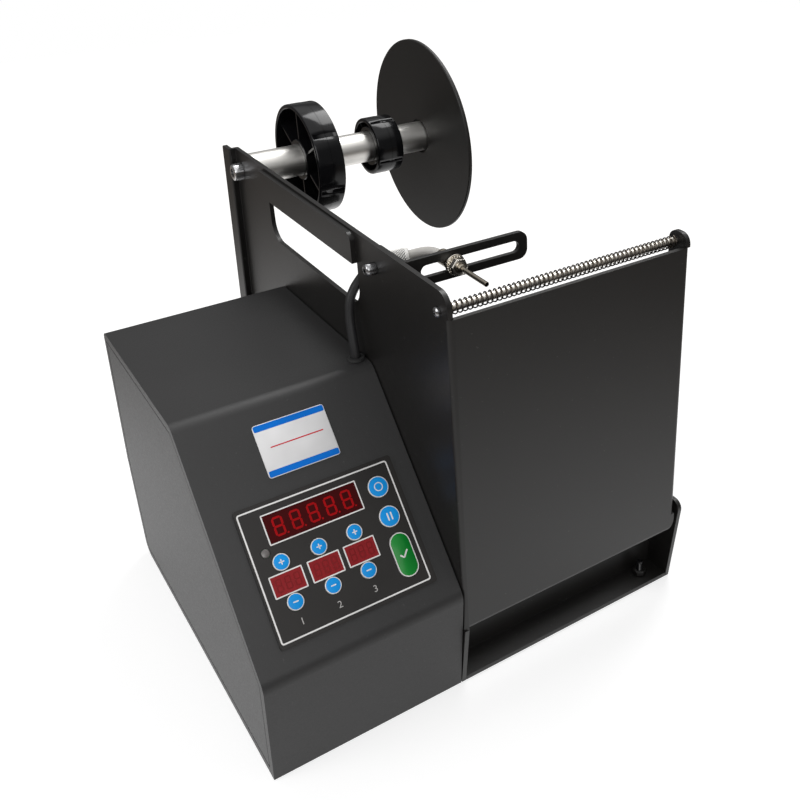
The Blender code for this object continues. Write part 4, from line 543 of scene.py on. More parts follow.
class Bench:
    """The modelling steps that the sub-assemblies share."""

    @staticmethod
    def clear() -> None:
        """Leave edit mode and deselect everything."""
        if bpy.context.object is not None and bpy.context.object.mode != "OBJECT":
            bpy.ops.object.mode_set(mode="OBJECT")
        bpy.ops.object.select_all(action="DESELECT")

    @staticmethod
    def pick(piece: Piece) -> None:
        """Make a piece the only selected and active one.

        Args:
            piece: the piece.
        """
        Bench.clear()
        piece.select_set(True)
        bpy.context.view_layer.objects.active = piece

    @staticmethod
    def apply() -> None:
        """Leave the active piece's place in its mesh."""
        bpy.ops.object.transform_apply(location=True, rotation=True, scale=True)

    @staticmethod
    def edit(piece: Piece, where: Callable[[Face], bool] | None = None) -> int:
        """Enter edit mode with all of a piece selected, or only the faces that pass a test.

        Args:
            piece: the mesh object to edit.
            where: a test of one face, by its centre and normal.

        Returns:
            How many faces are selected.
        """
        Bench.pick(piece)
        bpy.context.tool_settings.mesh_select_mode = (False, False, True)
        mesh = piece.data
        if where is not None:
            mesh.vertices.foreach_set("select", [False] * len(mesh.vertices))
            mesh.edges.foreach_set("select", [False] * len(mesh.edges))
            mesh.polygons.foreach_set("select", [bool(where(face)) for face in mesh.polygons])
        chosen = sum(face.select for face in mesh.polygons)
        bpy.ops.object.mode_set(mode="EDIT")
        if where is None:
            bpy.ops.mesh.select_all(action="SELECT")
        return chosen

    @staticmethod
    def settle(piece: Piece, name: str) -> Piece:
        """Merge doubles, turn the faces outwards, shade the curves smooth and name the piece.

        Args:
            piece: the mesh object.
            name: the piece's name.

        Returns:
            The same piece.
        """
        Bench.edit(piece)
        bpy.ops.mesh.remove_doubles(threshold=0.000002)
        bpy.ops.mesh.normals_make_consistent(inside=False)
        bpy.ops.object.mode_set(mode="OBJECT")
        bpy.ops.object.shade_smooth_by_angle(angle=SMOOTH_ANGLE)
        return named(piece, name)

    @staticmethod
    def lay(piece: Piece, place: Matrix) -> Piece:
        """Put a piece in its place and leave the place in its mesh.

        Args:
            piece: the mesh object.
            place: where it goes.

        Returns:
            The same piece.
        """
        Bench.pick(piece)
        piece.matrix_world = place @ piece.matrix_world
        Bench.apply()
        return piece

    @staticmethod
    def turned(name: str, profile: Sequence[tuple[float, float]], place: Matrix, steps: int = 48,
               bore: bool = False) -> Piece:
        """Draw a round piece out of a circle, along its own Z.

        Args:
            name: the piece's name.
            profile: distance along the axis and radius of each step, in millimetres.
            place: where the piece's own origin and axis lie.
            steps: how many sides the circle has.
            bore: whether the profile runs back to its start round an open bore.

        Returns:
            The piece, closed, with its place in its mesh.
        """
        Bench.clear()
        bpy.context.tool_settings.mesh_select_mode = (True, False, False)
        along, radius = profile[0]
        bpy.ops.mesh.primitive_circle_add(vertices=steps, radius=radius * MM,
                                          fill_type="NOTHING" if bore else "NGON",
                                          location=(0.0, 0.0, along * MM))
        piece = bpy.context.object
        Bench.apply()
        bpy.ops.object.mode_set(mode="EDIT")
        bpy.ops.mesh.select_all(action="SELECT")
        for next_along, next_radius in [*profile[1:], *(profile[:1] if bore else [])]:
            move = {"value": (0.0, 0.0, (next_along - along) * MM)}
            bpy.ops.mesh.extrude_region_move(TRANSFORM_OT_translate=move)
            if abs(next_radius - radius) > 1e-6:
                share = next_radius / radius
                bpy.ops.transform.resize(value=(share, share, share),
                                         center_override=(0.0, 0.0, next_along * MM))
            along, radius = next_along, next_radius
        Bench.settle(piece, name)
        return Bench.lay(piece, place)

    @staticmethod
    def sheet(size: tuple[float, float], corner: float, segments: int) -> Piece:
        """Start a flat sheet at the origin, its corners rounded, all selected in edit mode.

        Args:
            size: width and height, in millimetres.
            corner: corner radius in millimetres.
            segments: how many steps each corner has.

        Returns:
            The sheet.
        """
        Bench.clear()
        bpy.ops.mesh.primitive_plane_add(size=1.0, location=ORIGIN)
        piece = bpy.context.object
        bpy.ops.object.mode_set(mode="EDIT")
        bpy.ops.transform.resize(value=(size[0] * MM, size[1] * MM, 1.0), center_override=ORIGIN)
        bpy.ops.mesh.bevel(offset=corner * MM, offset_type="OFFSET", segments=segments,
                           affect="VERTICES")
        bpy.ops.mesh.select_all(action="SELECT")
        return piece

    @staticmethod
    def plate(name: str, size: tuple[float, float], thick: float, place: Matrix, corner: float,
              segments: int = 5, edge: float = 0.0) -> Piece:
        """Draw a flat plate out of a sheet: thickened, and its upper edge softened.

        Args:
            name: the piece's name.
            size: width and height, in millimetres.
            thick: thickness along its own Z, in millimetres.
            place: where the middle of the plate's low face lies.
            corner: corner radius in millimetres.
            segments: how many steps each corner has.
            edge: width of the softened upper edge, in millimetres.

        Returns:
            The plate with its place in its mesh.
        """
        piece = Bench.sheet(size, corner, segments)
        bpy.ops.mesh.extrude_region_move(TRANSFORM_OT_translate={"value": (0.0, 0.0, thick * MM)})
        if edge:
            bpy.ops.mesh.inset(thickness=edge * MM, depth=0.0)
            bpy.ops.transform.translate(value=(0.0, 0.0, edge * 0.6 * MM))
        Bench.settle(piece, name)
        return Bench.lay(piece, place)

    @staticmethod
    def border(name: str, size: tuple[float, float], width: float, thick: float, place: Matrix,
               corner: float) -> Piece:
        """Draw an open frame: a sheet, inset by the frame's width, its middle taken out.

        Args:
            name: the piece's name.
            size: width and height, in millimetres.
            width: width of the frame, in millimetres.
            thick: thickness along its own Z, in millimetres.
            place: where the middle of the frame's low face lies.
            corner: corner radius in millimetres.

        Returns:
            The frame with its place in its mesh.
        """
        piece = Bench.sheet(size, corner, 5)
        bpy.ops.mesh.inset(thickness=width * MM, depth=0.0)
        bpy.ops.mesh.delete(type="FACE")
        bpy.ops.mesh.select_all(action="SELECT")
        bpy.ops.mesh.extrude_region_move(TRANSFORM_OT_translate={"value": (0.0, 0.0, thick * MM)})
        Bench.settle(piece, name)
        return Bench.lay(piece, place)

    @staticmethod
    def prism(radius: float, start: float, end: float, sides: int, turn: float = 0.0) -> Piece:
        """Make a bar with round or straight sides along its own Z.

        Args:
            radius: radius to its corners, in millimetres.
            start: where it starts along Z, in millimetres.
            end: where it ends along Z, in millimetres.
            sides: how many sides it has.
            turn: how far it is turned about Z, in radians.

        Returns:
            The bar.
        """
        Bench.clear()
        bpy.ops.mesh.primitive_cylinder_add(
            vertices=sides, radius=radius * MM, depth=(end - start) * MM,
            location=(0.0, 0.0, (start + end) / 2.0 * MM), rotation=(0.0, 0.0, turn))
        Bench.apply()
        return bpy.context.object

    @staticmethod
    def nut(name: str, flats: float, height: float, bore: float, place: Matrix,
            turn: float = 0.0) -> Piece:
        """Draw a hexagon nut: a six-sided bar, its corners cut back at both ends, and bored.

        Args:
            name: the piece's name.
            flats: width across the flats, in millimetres.
            height: height along its own Z, in millimetres.
            bore: radius of the bore, in millimetres.
            place: where the middle of the nut's low face lies.
            turn: how far it is turned about its axis, in radians.

        Returns:
            The nut with its place in its mesh.
        """
        piece = Bench.prism(flats / math.sqrt(3.0), 0.0, height, HEXAGON, turn)
        Bench.soften(piece, min(0.35, height * 0.12), 2, 50.0)
        Bench.carve(piece, Bench.prism(bore, -1.0, height + 1.0, 24))
        Bench.settle(piece, name)
        return Bench.lay(piece, place)

    @staticmethod
    def carve(piece: Piece, tool: Piece) -> None:
        """Cut a tool's shape out of a piece and put the tool away.

        Args:
            piece: the mesh object to cut.
            tool: the mesh object that cuts.
        """
        Bench.pick(piece)
        hollow = piece.modifiers.new("hollow", "BOOLEAN")
        hollow.operation = "DIFFERENCE"
        hollow.solver = "EXACT"
        hollow.object = tool
        bpy.ops.object.modifier_apply(modifier=hollow.name)
        bpy.data.objects.remove(tool, do_unlink=True)

    @staticmethod
    def soften(piece: Piece, width: float, segments: int = 2, angle: float = 35.0) -> Piece:
        """Round a piece's sharp edges.

        Args:
            piece: the mesh object.
            width: width of the rounding, in millimetres.
            segments: how many steps it has.
            angle: how sharp an edge is rounded, in degrees.

        Returns:
            The same piece.
        """
        Bench.pick(piece)
        edge = piece.modifiers.new("edge", "BEVEL")
        edge.width = width * MM
        edge.segments = segments
        edge.limit_method = "ANGLE"
        edge.angle_limit = math.radians(angle)
        bpy.ops.object.modifier_apply(modifier=edge.name)
        bpy.ops.object.shade_smooth_by_angle(angle=SMOOTH_ANGLE)
        flats = piece.modifiers.new("flats", "WEIGHTED_NORMAL")
        flats.mode = "FACE_AREA"
        flats.weight = 90
        flats.keep_sharp = True
        bpy.ops.object.modifier_apply(modifier=flats.name)
        return piece

    @staticmethod
    def push(piece: Piece, where: Callable[[Face], bool], distance: float) -> None:
        """Push the faces that pass a test out of a piece, or into it, each along its normal.

        Args:
            piece: the mesh object.
            where: a test of one face.
            distance: how far the faces move outwards, in millimetres.
        """
        if Bench.edit(piece, where):
            bpy.ops.mesh.extrude_region_shrink_fatten(
                TRANSFORM_OT_shrink_fatten={"value": distance * MM})
        bpy.ops.object.mode_set(mode="OBJECT")

    @staticmethod
    def copied(piece: Piece, name: str, move: Matrix) -> Piece:
        """Copy a piece with a mesh of its own, moved.

        Args:
            piece: the mesh object to copy.
            name: the copy's name.
            move: how the copy is moved.

        Returns:
            The copy.
        """
        twin = piece.copy()
        twin.data = piece.data.copy()
        return Bench.lay(linked(named(twin, name)), move)

    @staticmethod
    def joined(name: str, parts: Sequence[Piece]) -> Piece:
        """Join pieces into one mesh.

        Args:
            name: the joined piece's name.
            parts: the pieces.

        Returns:
            The first piece, which holds them all.
        """
        Bench.pick(parts[0])
        for part in parts[1:]:
            part.select_set(True)
        bpy.ops.object.join()
        return named(parts[0], name)

    @staticmethod
    def tube(name: str, points: Sequence[Vector], radius: float, rounding: int) -> Piece:
        """Draw a round wire through points, with closed ends.

        Args:
            name: the piece's name.
            points: points of the wire's middle line, in the frame, in metres.
            radius: the wire's radius, in metres.
            rounding: how many pairs of sides the section has beyond its first four.

        Returns:
            The wire as a mesh.
        """
        Bench.clear()
        curve = bpy.data.curves.new(name, "CURVE")
        curve.dimensions = "3D"
        curve.bevel_depth = radius
        curve.bevel_resolution = rounding
        curve.use_fill_caps = True
        spline = curve.splines.new("POLY")
        spline.points.add(len(points) - 1)
        for knot, spot in zip(spline.points, points):
            knot.co = (*spot, 1.0)
        Bench.pick(linked(bpy.data.objects.new(name, curve)))
        bpy.ops.object.convert(target="MESH")
        return Bench.settle(bpy.context.object, name)

    @staticmethod
    def paint(piece: Piece, finish: Finish) -> None:
        """Give a piece one finish."""
        piece.data.materials.clear()
        piece.data.materials.append(finish.material())

    @staticmethod
    def dress(piece: Piece, finish: Finish, body: str, slot: str, *nodes: str) -> Piece:
        """Give a piece its finish and the body that it rides on, and hide the nodes that it stands
        for.

        Args:
            piece: the finished mesh.
            finish: the finish that it wears.
            body: the body that carries it.
            slot: not used.
            nodes: the CAD nodes that it stands for.

        Returns:
            The same piece.
        """
        Bench.paint(piece, finish)
        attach(piece, body)
        if nodes:
            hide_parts(*nodes)
        return piece

    @staticmethod
    def carried(node: str, name: str, width: float, segments: int, finish: Finish, body: str,
                slot: str) -> Piece:
        """Copy a CAD node, merge its loose triangles into faces, soften its edges and dress it.

        Args:
            node: the node whose form is kept.
            name: the new piece's name.
            width: width of the softened edges, in millimetres.
            segments: how many steps a softened edge has.
            finish: the finish that the piece wears.
            body: the body that carries it.
            slot: a material slot's name, handed on to dress.

        Returns:
            The new piece, which stands for the node.
        """
        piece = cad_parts[node].copy()
        piece.data = piece.data.copy()
        piece.parent = None
        piece.matrix_world = Matrix.Identity(4)
        for key in list(piece.keys()):
            del piece[key]
        piece.hide_render = piece.hide_viewport = False
        Bench.edit(linked(piece))
        bpy.ops.mesh.remove_doubles(threshold=0.000004)
        bpy.ops.mesh.dissolve_limited(angle_limit=math.radians(1.0))
        bpy.ops.object.mode_set(mode="OBJECT")
        Bench.soften(named(piece, name), width, segments)
        return Bench.dress(piece, finish, body, slot, node)

    @staticmethod
    def repaint(finish: Finish, *nodes: str) -> None:
        """Give carried-over CAD nodes a finish.

        Args:
            finish: the finish.
            nodes: the nodes' names.
        """
        for node in nodes:
            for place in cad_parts[node].material_slots:
                place.material = finish.material()


@dataclass
class Studio:
    """Camera, pale floor and plain soft lamps."""

    camera_spot: Sequence[float] = (-0.21306, -0.50204, 0.41931)
    camera_turn: Sequence[float] = (63.864, 0.447, -35.107)
    lens: float = 45.92
    sensor_width: float = 36.0
    shift: Sequence[float] = (-0.17574, -0.119)
    floor_size: float = 3.2
    floor_z: float = -0.0003
    floor_near: Colour = (0.56, 0.56, 0.56)
    floor_far: Colour = (0.16, 0.145, 0.13)
    floor_fade: Sequence[float] = (0.24, 0.64)
    glow_near: Colour = (0.60, 0.60, 0.60)
    glow_far: Colour = (0.050, 0.040, 0.034)
    white: Colour = (1.0, 1.0, 1.0)
    fill: float = 0.45
    walls: float = 0.16
    ceiling_edge: Sequence[float] = (0.45, 0.80)
    lamps: Sequence[tuple[str, Sequence[float], float, float]] = (
        ("overhead_lamp", (0.55, 0.30, 1.15), 0.60, 7.0),
        ("left_lamp", (-1.10, -0.15, 0.85), 0.80, 7.0),
        ("front_lamp", (-0.35, -1.25, 0.85), 0.80, 5.4))
    lamp_aim: Sequence[float] = (0.0, 0.0, 0.08)

    def build(self) -> None:
        """Set up the view and the light."""
        self.set_camera()
        self.lay_floor()
        self.hang_lamps()
        self.fill_room()
        bpy.context.scene.view_settings.view_transform = "Standard"

    def set_camera(self) -> None:
        """Stand the camera where the photograph was taken from."""
        lens = bpy.data.cameras.new("photo_camera")
        lens.lens = self.lens
        lens.sensor_width = self.sensor_width
        lens.shift_x, lens.shift_y = self.shift
        camera = linked(bpy.data.objects.new("photo_camera", lens))
        camera.location = self.camera_spot
        camera.rotation_euler = [math.radians(angle) for angle in self.camera_turn]
        bpy.context.scene.camera = camera

    def lay_floor(self) -> None:
        """Lay a pale floor that shows white, keeps the shadow and reflects less far off."""
        Bench.clear()
        bpy.ops.mesh.primitive_plane_add(size=self.floor_size, location=(0.0, 0.0, self.floor_z))
        floor = bpy.context.object
        floor.name = "floor"
        graph = Graph("floor_paper")
        graph.tree.nodes.remove(graph.shader)
        reach = graph.node("ShaderNodeVectorMath")
        reach.operation = "LENGTH"
        graph.link(graph.spot, reach.inputs[0])
        away = graph.span(reach.outputs["Value"], 0.0, 1.0, *self.floor_fade)
        paper = graph.node("ShaderNodeBsdfDiffuse")
        graph.link(graph.blend(away, self.floor_near, self.floor_far), paper.inputs["Color"])
        glow = graph.node("ShaderNodeEmission")
        direct = graph.node("ShaderNodeLightPath").outputs["Is Camera Ray"]
        reflected = graph.blend(away, self.glow_near, self.glow_far)
        shown = graph.blend(away, self.glow_near, self.white)
        graph.link(graph.blend(direct, reflected, shown), glow.inputs["Color"])
        graph.link(graph.seen_ray(), glow.inputs["Strength"])
        both = graph.node("ShaderNodeAddShader")
        graph.link(paper.outputs[0], both.inputs[0])
        graph.link(glow.outputs[0], both.inputs[1])
        graph.link(both.outputs[0], graph.output.inputs["Surface"])
        floor.data.materials.append(graph.material)
        floor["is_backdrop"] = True

    def hang_lamps(self) -> None:
        """Hang the soft lamps: one over the machine, one at its left and one at the front."""
        for name, spot, size, power in self.lamps:
            lamp = bpy.data.lights.new(name, "AREA")
            lamp.shape = "SQUARE"
            lamp.size = size
            lamp.energy = power
            item = linked(bpy.data.objects.new(name, lamp))
            item.location = spot
            way = Vector(self.lamp_aim) - Vector(spot)
            item.rotation_euler = way.to_track_quat("-Z", "Y").to_euler()

    def fill_room(self) -> None:
        """Surround the machine with white that is seen, and dim walls under a bright ceiling."""
        world = bpy.data.worlds.new("white_room")
        bpy.context.scene.world = world
        world.use_nodes = True
        room = Wiring(world.node_tree)
        output = room.node("ShaderNodeOutputWorld")
        seen = room.node("ShaderNodeBackground")
        fill = room.node("ShaderNodeBackground")
        fill.inputs["Color"].default_value = (*self.white, 1.0)
        fill.inputs["Strength"].default_value = self.fill
        split = room.node("ShaderNodeSeparateXYZ")
        room.link(room.node("ShaderNodeTexCoord").outputs["Generated"], split.inputs[0])
        ceiling = room.span(split.outputs["Z"], self.walls, 1.0, *self.ceiling_edge)
        direct = room.node("ShaderNodeLightPath").outputs["Is Camera Ray"]
        room.link(room.greater(ceiling, direct), seen.inputs["Color"])
        mix = room.node("ShaderNodeMixShader")
        room.link(room.seen_ray(), mix.inputs[0])
        room.link(fill.outputs[0], mix.inputs[1])
        room.link(seen.outputs[0], mix.inputs[2])
        room.link(mix.outputs[0], output.inputs["Surface"])


@dataclass
class SensorLead:
    """The sensor's lead: a grey part, a knurled sleeve and a black part into the box.

    A bend is a pair of points on a smoothed route.
    """

    grey_radius: float = 0.00235
    black_radius: float = 0.0025
    grey_length: float = 0.0304
    black_length: float = 0.0704
    lead_rounding: int = 4
    route_steps: int = 6
    grey_bend: tuple[int, int] = (-14, 4)
    black_bend: tuple[int, int] = (48, 2)
    sleeve_radius: float = 4.2
    sleeve_end: float = 3.4
    sleeve_gap: float = 0.25
    sleeve_from: Vector = at(20.5, 67.1, 218.8)
    sleeve_to: Vector = at(10.5, 72.1, 216.8)
    collar: float = 0.9
    chamfer: float = 0.7
    knurl_rings: int = 12
    knurl_sectors: int = 36
    knurl_depth: float = 0.28
    knurl_rise: float = 0.45
    grey_route: Sequence[Sequence[float]] = (
        (0.0305, 0.0523, 0.2211), (0.0303, 0.0561, 0.2211), (0.0291, 0.0597, 0.2210),
        (0.0269, 0.0629, 0.2205), (0.0240, 0.0652, 0.2197), (0.0205, 0.0671, 0.2188),
        (0.0155, 0.0696, 0.2178), (0.0108, 0.07195, 0.21686))
    black_route: Sequence[Sequence[float]] = (
        (0.0102, 0.07225, 0.21674), (0.00821, 0.07354, 0.21610), (0.00668, 0.07520, 0.21505),
        (0.0057, 0.07715, 0.21375), (0.0054, 0.0793, 0.2122), (0.0054, 0.0822, 0.2101),
        (0.0053, 0.0849, 0.2077), (0.0043, 0.0876, 0.2047), (0.0023, 0.0898, 0.2009),
        (-0.0004, 0.0911, 0.1962), (-0.0030, 0.0911, 0.1905), (-0.0046, 0.0895, 0.1816),
        (-0.0053, 0.0870, 0.1724), (-0.0055, 0.0852, 0.1648), (-0.0055, 0.0850, 0.1592))

    def smooth_route(self, points: Sequence[Sequence[float]]) -> list[Vector]:
        """Give close points on a smooth curve through a route's own points.

        Args:
            points: the route's points in the drawing, in metres.

        Returns:
            Points in the frame, in metres.
        """
        spots = [Vector(point) + SHIFT * MM for point in points]
        ends = [spots[0] * 2.0 - spots[1], *spots, spots[-1] * 2.0 - spots[-2]]
        fine = []
        for index in range(1, len(ends) - 2):
            before, start, stop, after = ends[index - 1:index + 3]
            for step in range(self.route_steps):
                t = step / self.route_steps
                fine.append((start * 2.0 + (stop - before) * t
                             + (before * 2.0 - start * 5.0 + stop * 4.0 - after) * t * t
                             + (start * 3.0 - before - stop * 3.0 + after) * t * t * t) / 2.0)
        return fine + [ends[-2]]

    def build(self) -> None:
        """Model the two leads and the sleeve between them."""
        grey = self.smooth_route(self.grey_route)
        black = self.smooth_route(self.black_route)
        grey_lead = Bench.tube("grey_lead", grey, self.grey_radius, self.lead_rounding)
        black_lead = Bench.tube("black_lead", black, self.black_radius, self.lead_rounding)
        for lead, finish, slot, node in (
                (grey_lead, LEAD_GREY, "grey_lead", "sensor_lead_grey"),
                (black_lead, LEAD_BLACK, "black_lead", "sensor_lead_black")):
            Bench.paint(lead, finish)
            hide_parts(node)
        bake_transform(grey_lead)
        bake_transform(black_lead)
        self.knurl_sleeve()

    def knurl_sleeve(self) -> None:
        """Turn the bored sleeve with a raised diamond knurl and smooth collars."""
        way = self.sleeve_to - self.sleeve_from
        long, bore = way.length / MM, self.grey_radius / MM + self.sleeve_gap
        rings, sectors = self.knurl_rings, self.knurl_sectors
        knurled_length = long - 2.0 * self.collar
        body = self.sleeve_radius - self.knurl_depth
        profile = [(0.0, bore), (0.0, self.sleeve_end), (self.chamfer, body)]
        for ring in range(rings + 1):
            profile.append((self.collar + knurled_length * ring / rings, body))
        profile += [(long - self.chamfer, body), (long, self.sleeve_end), (long, bore)]
        sleeve = Bench.turned("lead_sleeve_knurled", profile, Matrix.Identity(4), sectors,
                              bore=True)
        # The proud attribute is one on raised points and collars and nought in the grooves, where
        # the finish paints shade.
        proud = sleeve.data.attributes.new("proud", "FLOAT", "POINT")
        for vertex in sleeve.data.vertices:
            ring = (vertex.co.z / MM - self.collar) / (knurled_length / rings)
            sector = math.atan2(vertex.co.y, vertex.co.x) / math.tau * sectors
            knurled = 0.5 < ring < rings - 0.5 and vertex.co.xy.length > (body - 0.1) * MM
            raised = knurled and (round(ring) + round(sector)) % 2 == 0
            proud.data[vertex.index].value = 1.0 if raised or not knurled else 0.0
            if raised:
                vertex.co.xy *= 1.0 + self.knurl_rise / body
        Bench.pick(sleeve)
        bpy.ops.object.shade_flat()
        Bench.lay(sleeve, aimed(self.sleeve_from, way))
        Bench.dress(sleeve, SLEEVE_GREY, "bracket", "grey_lead", "lead_sleeve")


@dataclass
class SheetFrame:
    """Bent side plate with its front plate, the base tray, and the stud and nut in it."""

    plate_edge: float = 0.45
    tray_edge: float = 0.36
    stud: Vector = at(130.0, 9.0, 0.0)
    stud_radius: float = 2.0
    stud_sides: int = 20
    thread_pitch: float = 0.60
    thread_depth: float = 0.28
    nut_flats: float = 7.0
    nut_height: float = 3.2
    nut_gap: float = 0.05

    def build(self) -> None:
        """Soften the bent sheets and turn the stud."""
        Bench.carried("side_frame", "bent_side_plate", self.plate_edge, 3, BLACK_COAT, "machine",
                      "black_powder_coat")
        Bench.carried("base_tray", "folded_base_tray", self.tray_edge, 3, BLACK_COAT, "machine",
                      "black_powder_coat")
        self.turn_stud()

    def turn_stud(self) -> None:
        """Turn the threaded stud and make its nut."""
        low, top = (corner.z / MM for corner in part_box("tray_stud"))
        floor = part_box("tray_nut")[0].z / MM
        radius = self.stud_radius
        turn = floor + self.nut_height
        profile = [(low, radius), (turn, radius)]
        while turn + 0.7 < top - 0.4:
            profile += [(turn + self.thread_pitch / 2.0, radius - self.thread_depth),
                        (turn + self.thread_pitch, radius)]
            turn += self.thread_pitch
        profile += [(top - 0.3, radius - 0.1), (top, radius - 0.5)]
        stud = Bench.turned("tray_stud_thread", profile, Axis.UP.placed(self.stud),
                            self.stud_sides)
        Bench.dress(stud, BLACK_GLOSS, "machine", "black_powder_coat", "tray_stud")
        foot = Vector((self.stud.x, self.stud.y, floor * MM))
        nut = Bench.nut("tray_nut_hexagon", self.nut_flats, self.nut_height,
                        radius + self.nut_gap, Axis.UP.placed(foot))
        Bench.dress(nut, BLACK_COAT, "machine", "black_powder_coat", "tray_nut")


@dataclass
class ElectronicsBox:
    """The textured box: bent cover, left panel and floor."""

    cover_edge: float = 0.5
    panel_edge: float = 0.3

    def build(self) -> None:
        """Soften the cover and its panel, and coat the floor."""
        Bench.carried("box_wrap", "box_cover", self.cover_edge, 3, BOX_COAT, "machine",
                      "charcoal_texture")
        Bench.carried("side_panel", "box_left_panel", self.panel_edge, 2, BOX_COAT, "machine",
                      "charcoal_texture")
        Bench.repaint(BOX_COAT, "floor_pan")


@dataclass
class ControlPanel:
    """Badge, keypad film, windows with their digits, keys and the status light.

    Tops are heights off the slope, and places on it are x across and s up. The line and the
    badge are given by their low x, low s, high x and high s, the counter by x, s, width and
    height, the eye by x, s and radius, and a digit by width, height and width of a segment.
    """

    film_edge: float = 0.25
    film_top: float = 1.42
    window_top: float = 1.6
    window_thick: float = 0.8
    window_gap: float = 0.2
    window_corner: float = 0.4
    frame_room: float = 0.9
    frame_width: float = 0.62
    frame_thick: float = 0.22
    frame_corner: float = 0.5
    key_top: float = 2.0
    key_depth: float = 2.2
    sink: float = 0.02
    lift: float = 0.001
    line: Sequence[float] = (-91.0, 14.7, -13.2, 77.5)
    line_width: float = 0.75
    print_thick: float = 0.05
    badge: Sequence[float] = (-70.0, 88.3, -33.1, 115.0)
    badge_thick: float = 0.7
    badge_top: float = 0.77
    badge_edge: float = 0.12
    band: float = 3.1
    band_margin: float = 0.35
    band_corner: float = 0.8
    rule_long: float = 0.74
    rule_wide: float = 0.6
    rule_up: float = 0.535
    rule_right: float = 0.6
    rule_corner: float = 0.1
    paint_thick: float = 0.06
    corner: float = 1.4
    counter: Sequence[float] = (-56.4, 66.1, 47.8, 14.0)
    columns: Sequence[float] = (-78.5, -59.6, -41.1)
    column_names: Sequence[str] = ("speed", "length", "rows")
    small_size: Sequence[float] = (15.4, 9.8)
    small_s: float = 40.2
    digit: Sequence[float] = (5.3, 9.4, 1.05)
    small_digit: Sequence[float] = (3.1, 6.4, 0.62)
    digit_thick: float = 0.04
    digit_lean: float = 0.12
    digit_gap: float = 0.16
    digit_tip: float = 0.46
    digit_pitch: float = 0.183
    small_pitch: float = 4.5
    dot_radius: float = 0.5
    dot: Sequence[float] = (3.3, -4.3)
    up_s: float = 50.1
    down_s: float = 30.7
    key_radius: float = 4.0
    big_radius: float = 5.3
    key_steps: int = 40
    big_x: float = -21.8
    reset_s: float = 66.3
    pause_s: float = 50.7
    confirm_s: float = 30.8
    confirm_length: float = 22.2
    cap_gap: float = 0.9
    cap_thick: float = 1.9
    cap_edge: float = 0.5
    rim_width: float = 0.48
    rim_thick: float = 1.95
    sign_tip: float = 0.35
    sign_sink: float = 0.04
    eye: Sequence[float] = (-83.9, 56.3, 2.0)
    number_s: float = 21.2
    number_size: float = 4.6
    number_thick: float = 0.03
    number_lift: float = 0.01

    def build(self) -> None:
        """Model the panel from its film upwards."""
        Bench.carried("keypad_panel", "keypad_film", self.film_edge, 2, FILM, "machine",
                      "keypad_film")
        low_x, low_s, high_x, high_s = self.line
        middle = self.on_film((low_x + high_x) / 2.0, (low_s + high_s) / 2.0)
        line = Bench.border("keypad_white_line", (high_x - low_x, high_s - low_s),
                            self.line_width, self.print_thick, middle, self.corner)
        Bench.dress(line, PRINT_WHITE, "machine", "badge_white")
        self.make_badge()
        self.make_windows()
        self.make_round_keys()
        self.make_confirm_key()
        self.number_columns()
        self.make_eye()

    def on_film(self, x: float, s: float) -> Matrix:
        """Give the matrix of a spot on the film, sunk in a little."""
        return Slope.placed(x, s, self.film_top - self.sink)

    def make_eye(self) -> None:
        """Turn the small domed status light."""
        x, s, radius = self.eye
        eye = Bench.turned("status_light", [
            (-1.5, radius), (0.0, radius), (0.1, radius - 0.15), (0.22, radius * 0.6),
            (0.26, radius * 0.2)], self.on_film(x, s), 24)
        Bench.dress(eye, EYE_GREY, "machine", "black_plastic", "light_eye")

    def make_badge(self) -> None:
        """Lay the bare badge with its coloured bands and fine line."""
        low_x, low_s, high_x, high_s = self.badge
        middle, wide, high = (low_x + high_x) / 2.0, high_x - low_x, high_s - low_s
        plate = Bench.plate("badge_white_plate", (wide, high), self.badge_thick,
                            Slope.placed(middle, (low_s + high_s) / 2.0, self.sink), self.corner,
                            edge=self.badge_edge)
        Bench.dress(plate, BADGE_FACE, "machine", "badge_white", "badge_plate")
        inner = self.band / 2.0 + self.band_margin
        for name, s in (("badge_low_band", low_s + inner), ("badge_high_band", high_s - inner)):
            strip = Bench.plate(name, (wide - 2.0 * self.band_margin, self.band), self.paint_thick,
                                Slope.placed(middle, s, self.badge_top), self.band_corner)
            Bench.dress(strip, BADGE_BLUE, "machine", "blue_key")
        spot = Slope.placed(middle + self.rule_right, low_s + high * self.rule_up, self.badge_top)
        rule = Bench.plate("badge_red_rule", (wide * self.rule_long, self.rule_wide),
                           self.paint_thick, spot, self.rule_corner, 1)
        Bench.dress(rule, BADGE_RED, "machine", "red_display")

    def figure_eight(self, name: str, size: Sequence[float]) -> Piece:
        """Make one seven-segment figure, lying flat at the origin.

        Args:
            name: the figure's name.
            size: width and height of the figure and width of a segment, in millimetres.

        Returns:
            The seven segments joined into one mesh, leaning a little.
        """
        stroke = size[2]
        wide, high = size[0] - stroke, (size[1] - stroke) / 2.0
        bars = []
        for x, y, long, upright in (
                (0.0, high, wide, False), (0.0, 0.0, wide, False), (0.0, -high, wide, False),
                (-wide / 2.0, high / 2.0, high, True), (wide / 2.0, high / 2.0, high, True),
                (-wide / 2.0, -high / 2.0, high, True), (wide / 2.0, -high / 2.0, high, True)):
            turn = Matrix.Rotation(math.pi / 2.0 if upright else 0.0, 4, "Z")
            place = Matrix.Translation((x * MM, y * MM, 0.0)) @ turn
            bars.append(Bench.plate(name, (long - stroke * self.digit_gap, stroke),
                                    self.digit_thick, place, stroke * self.digit_tip, 1))
        figure = Bench.joined(name, bars)
        figure.data.transform(Matrix.Shear("XY", 4, (self.digit_lean, 0.0)))
        return figure

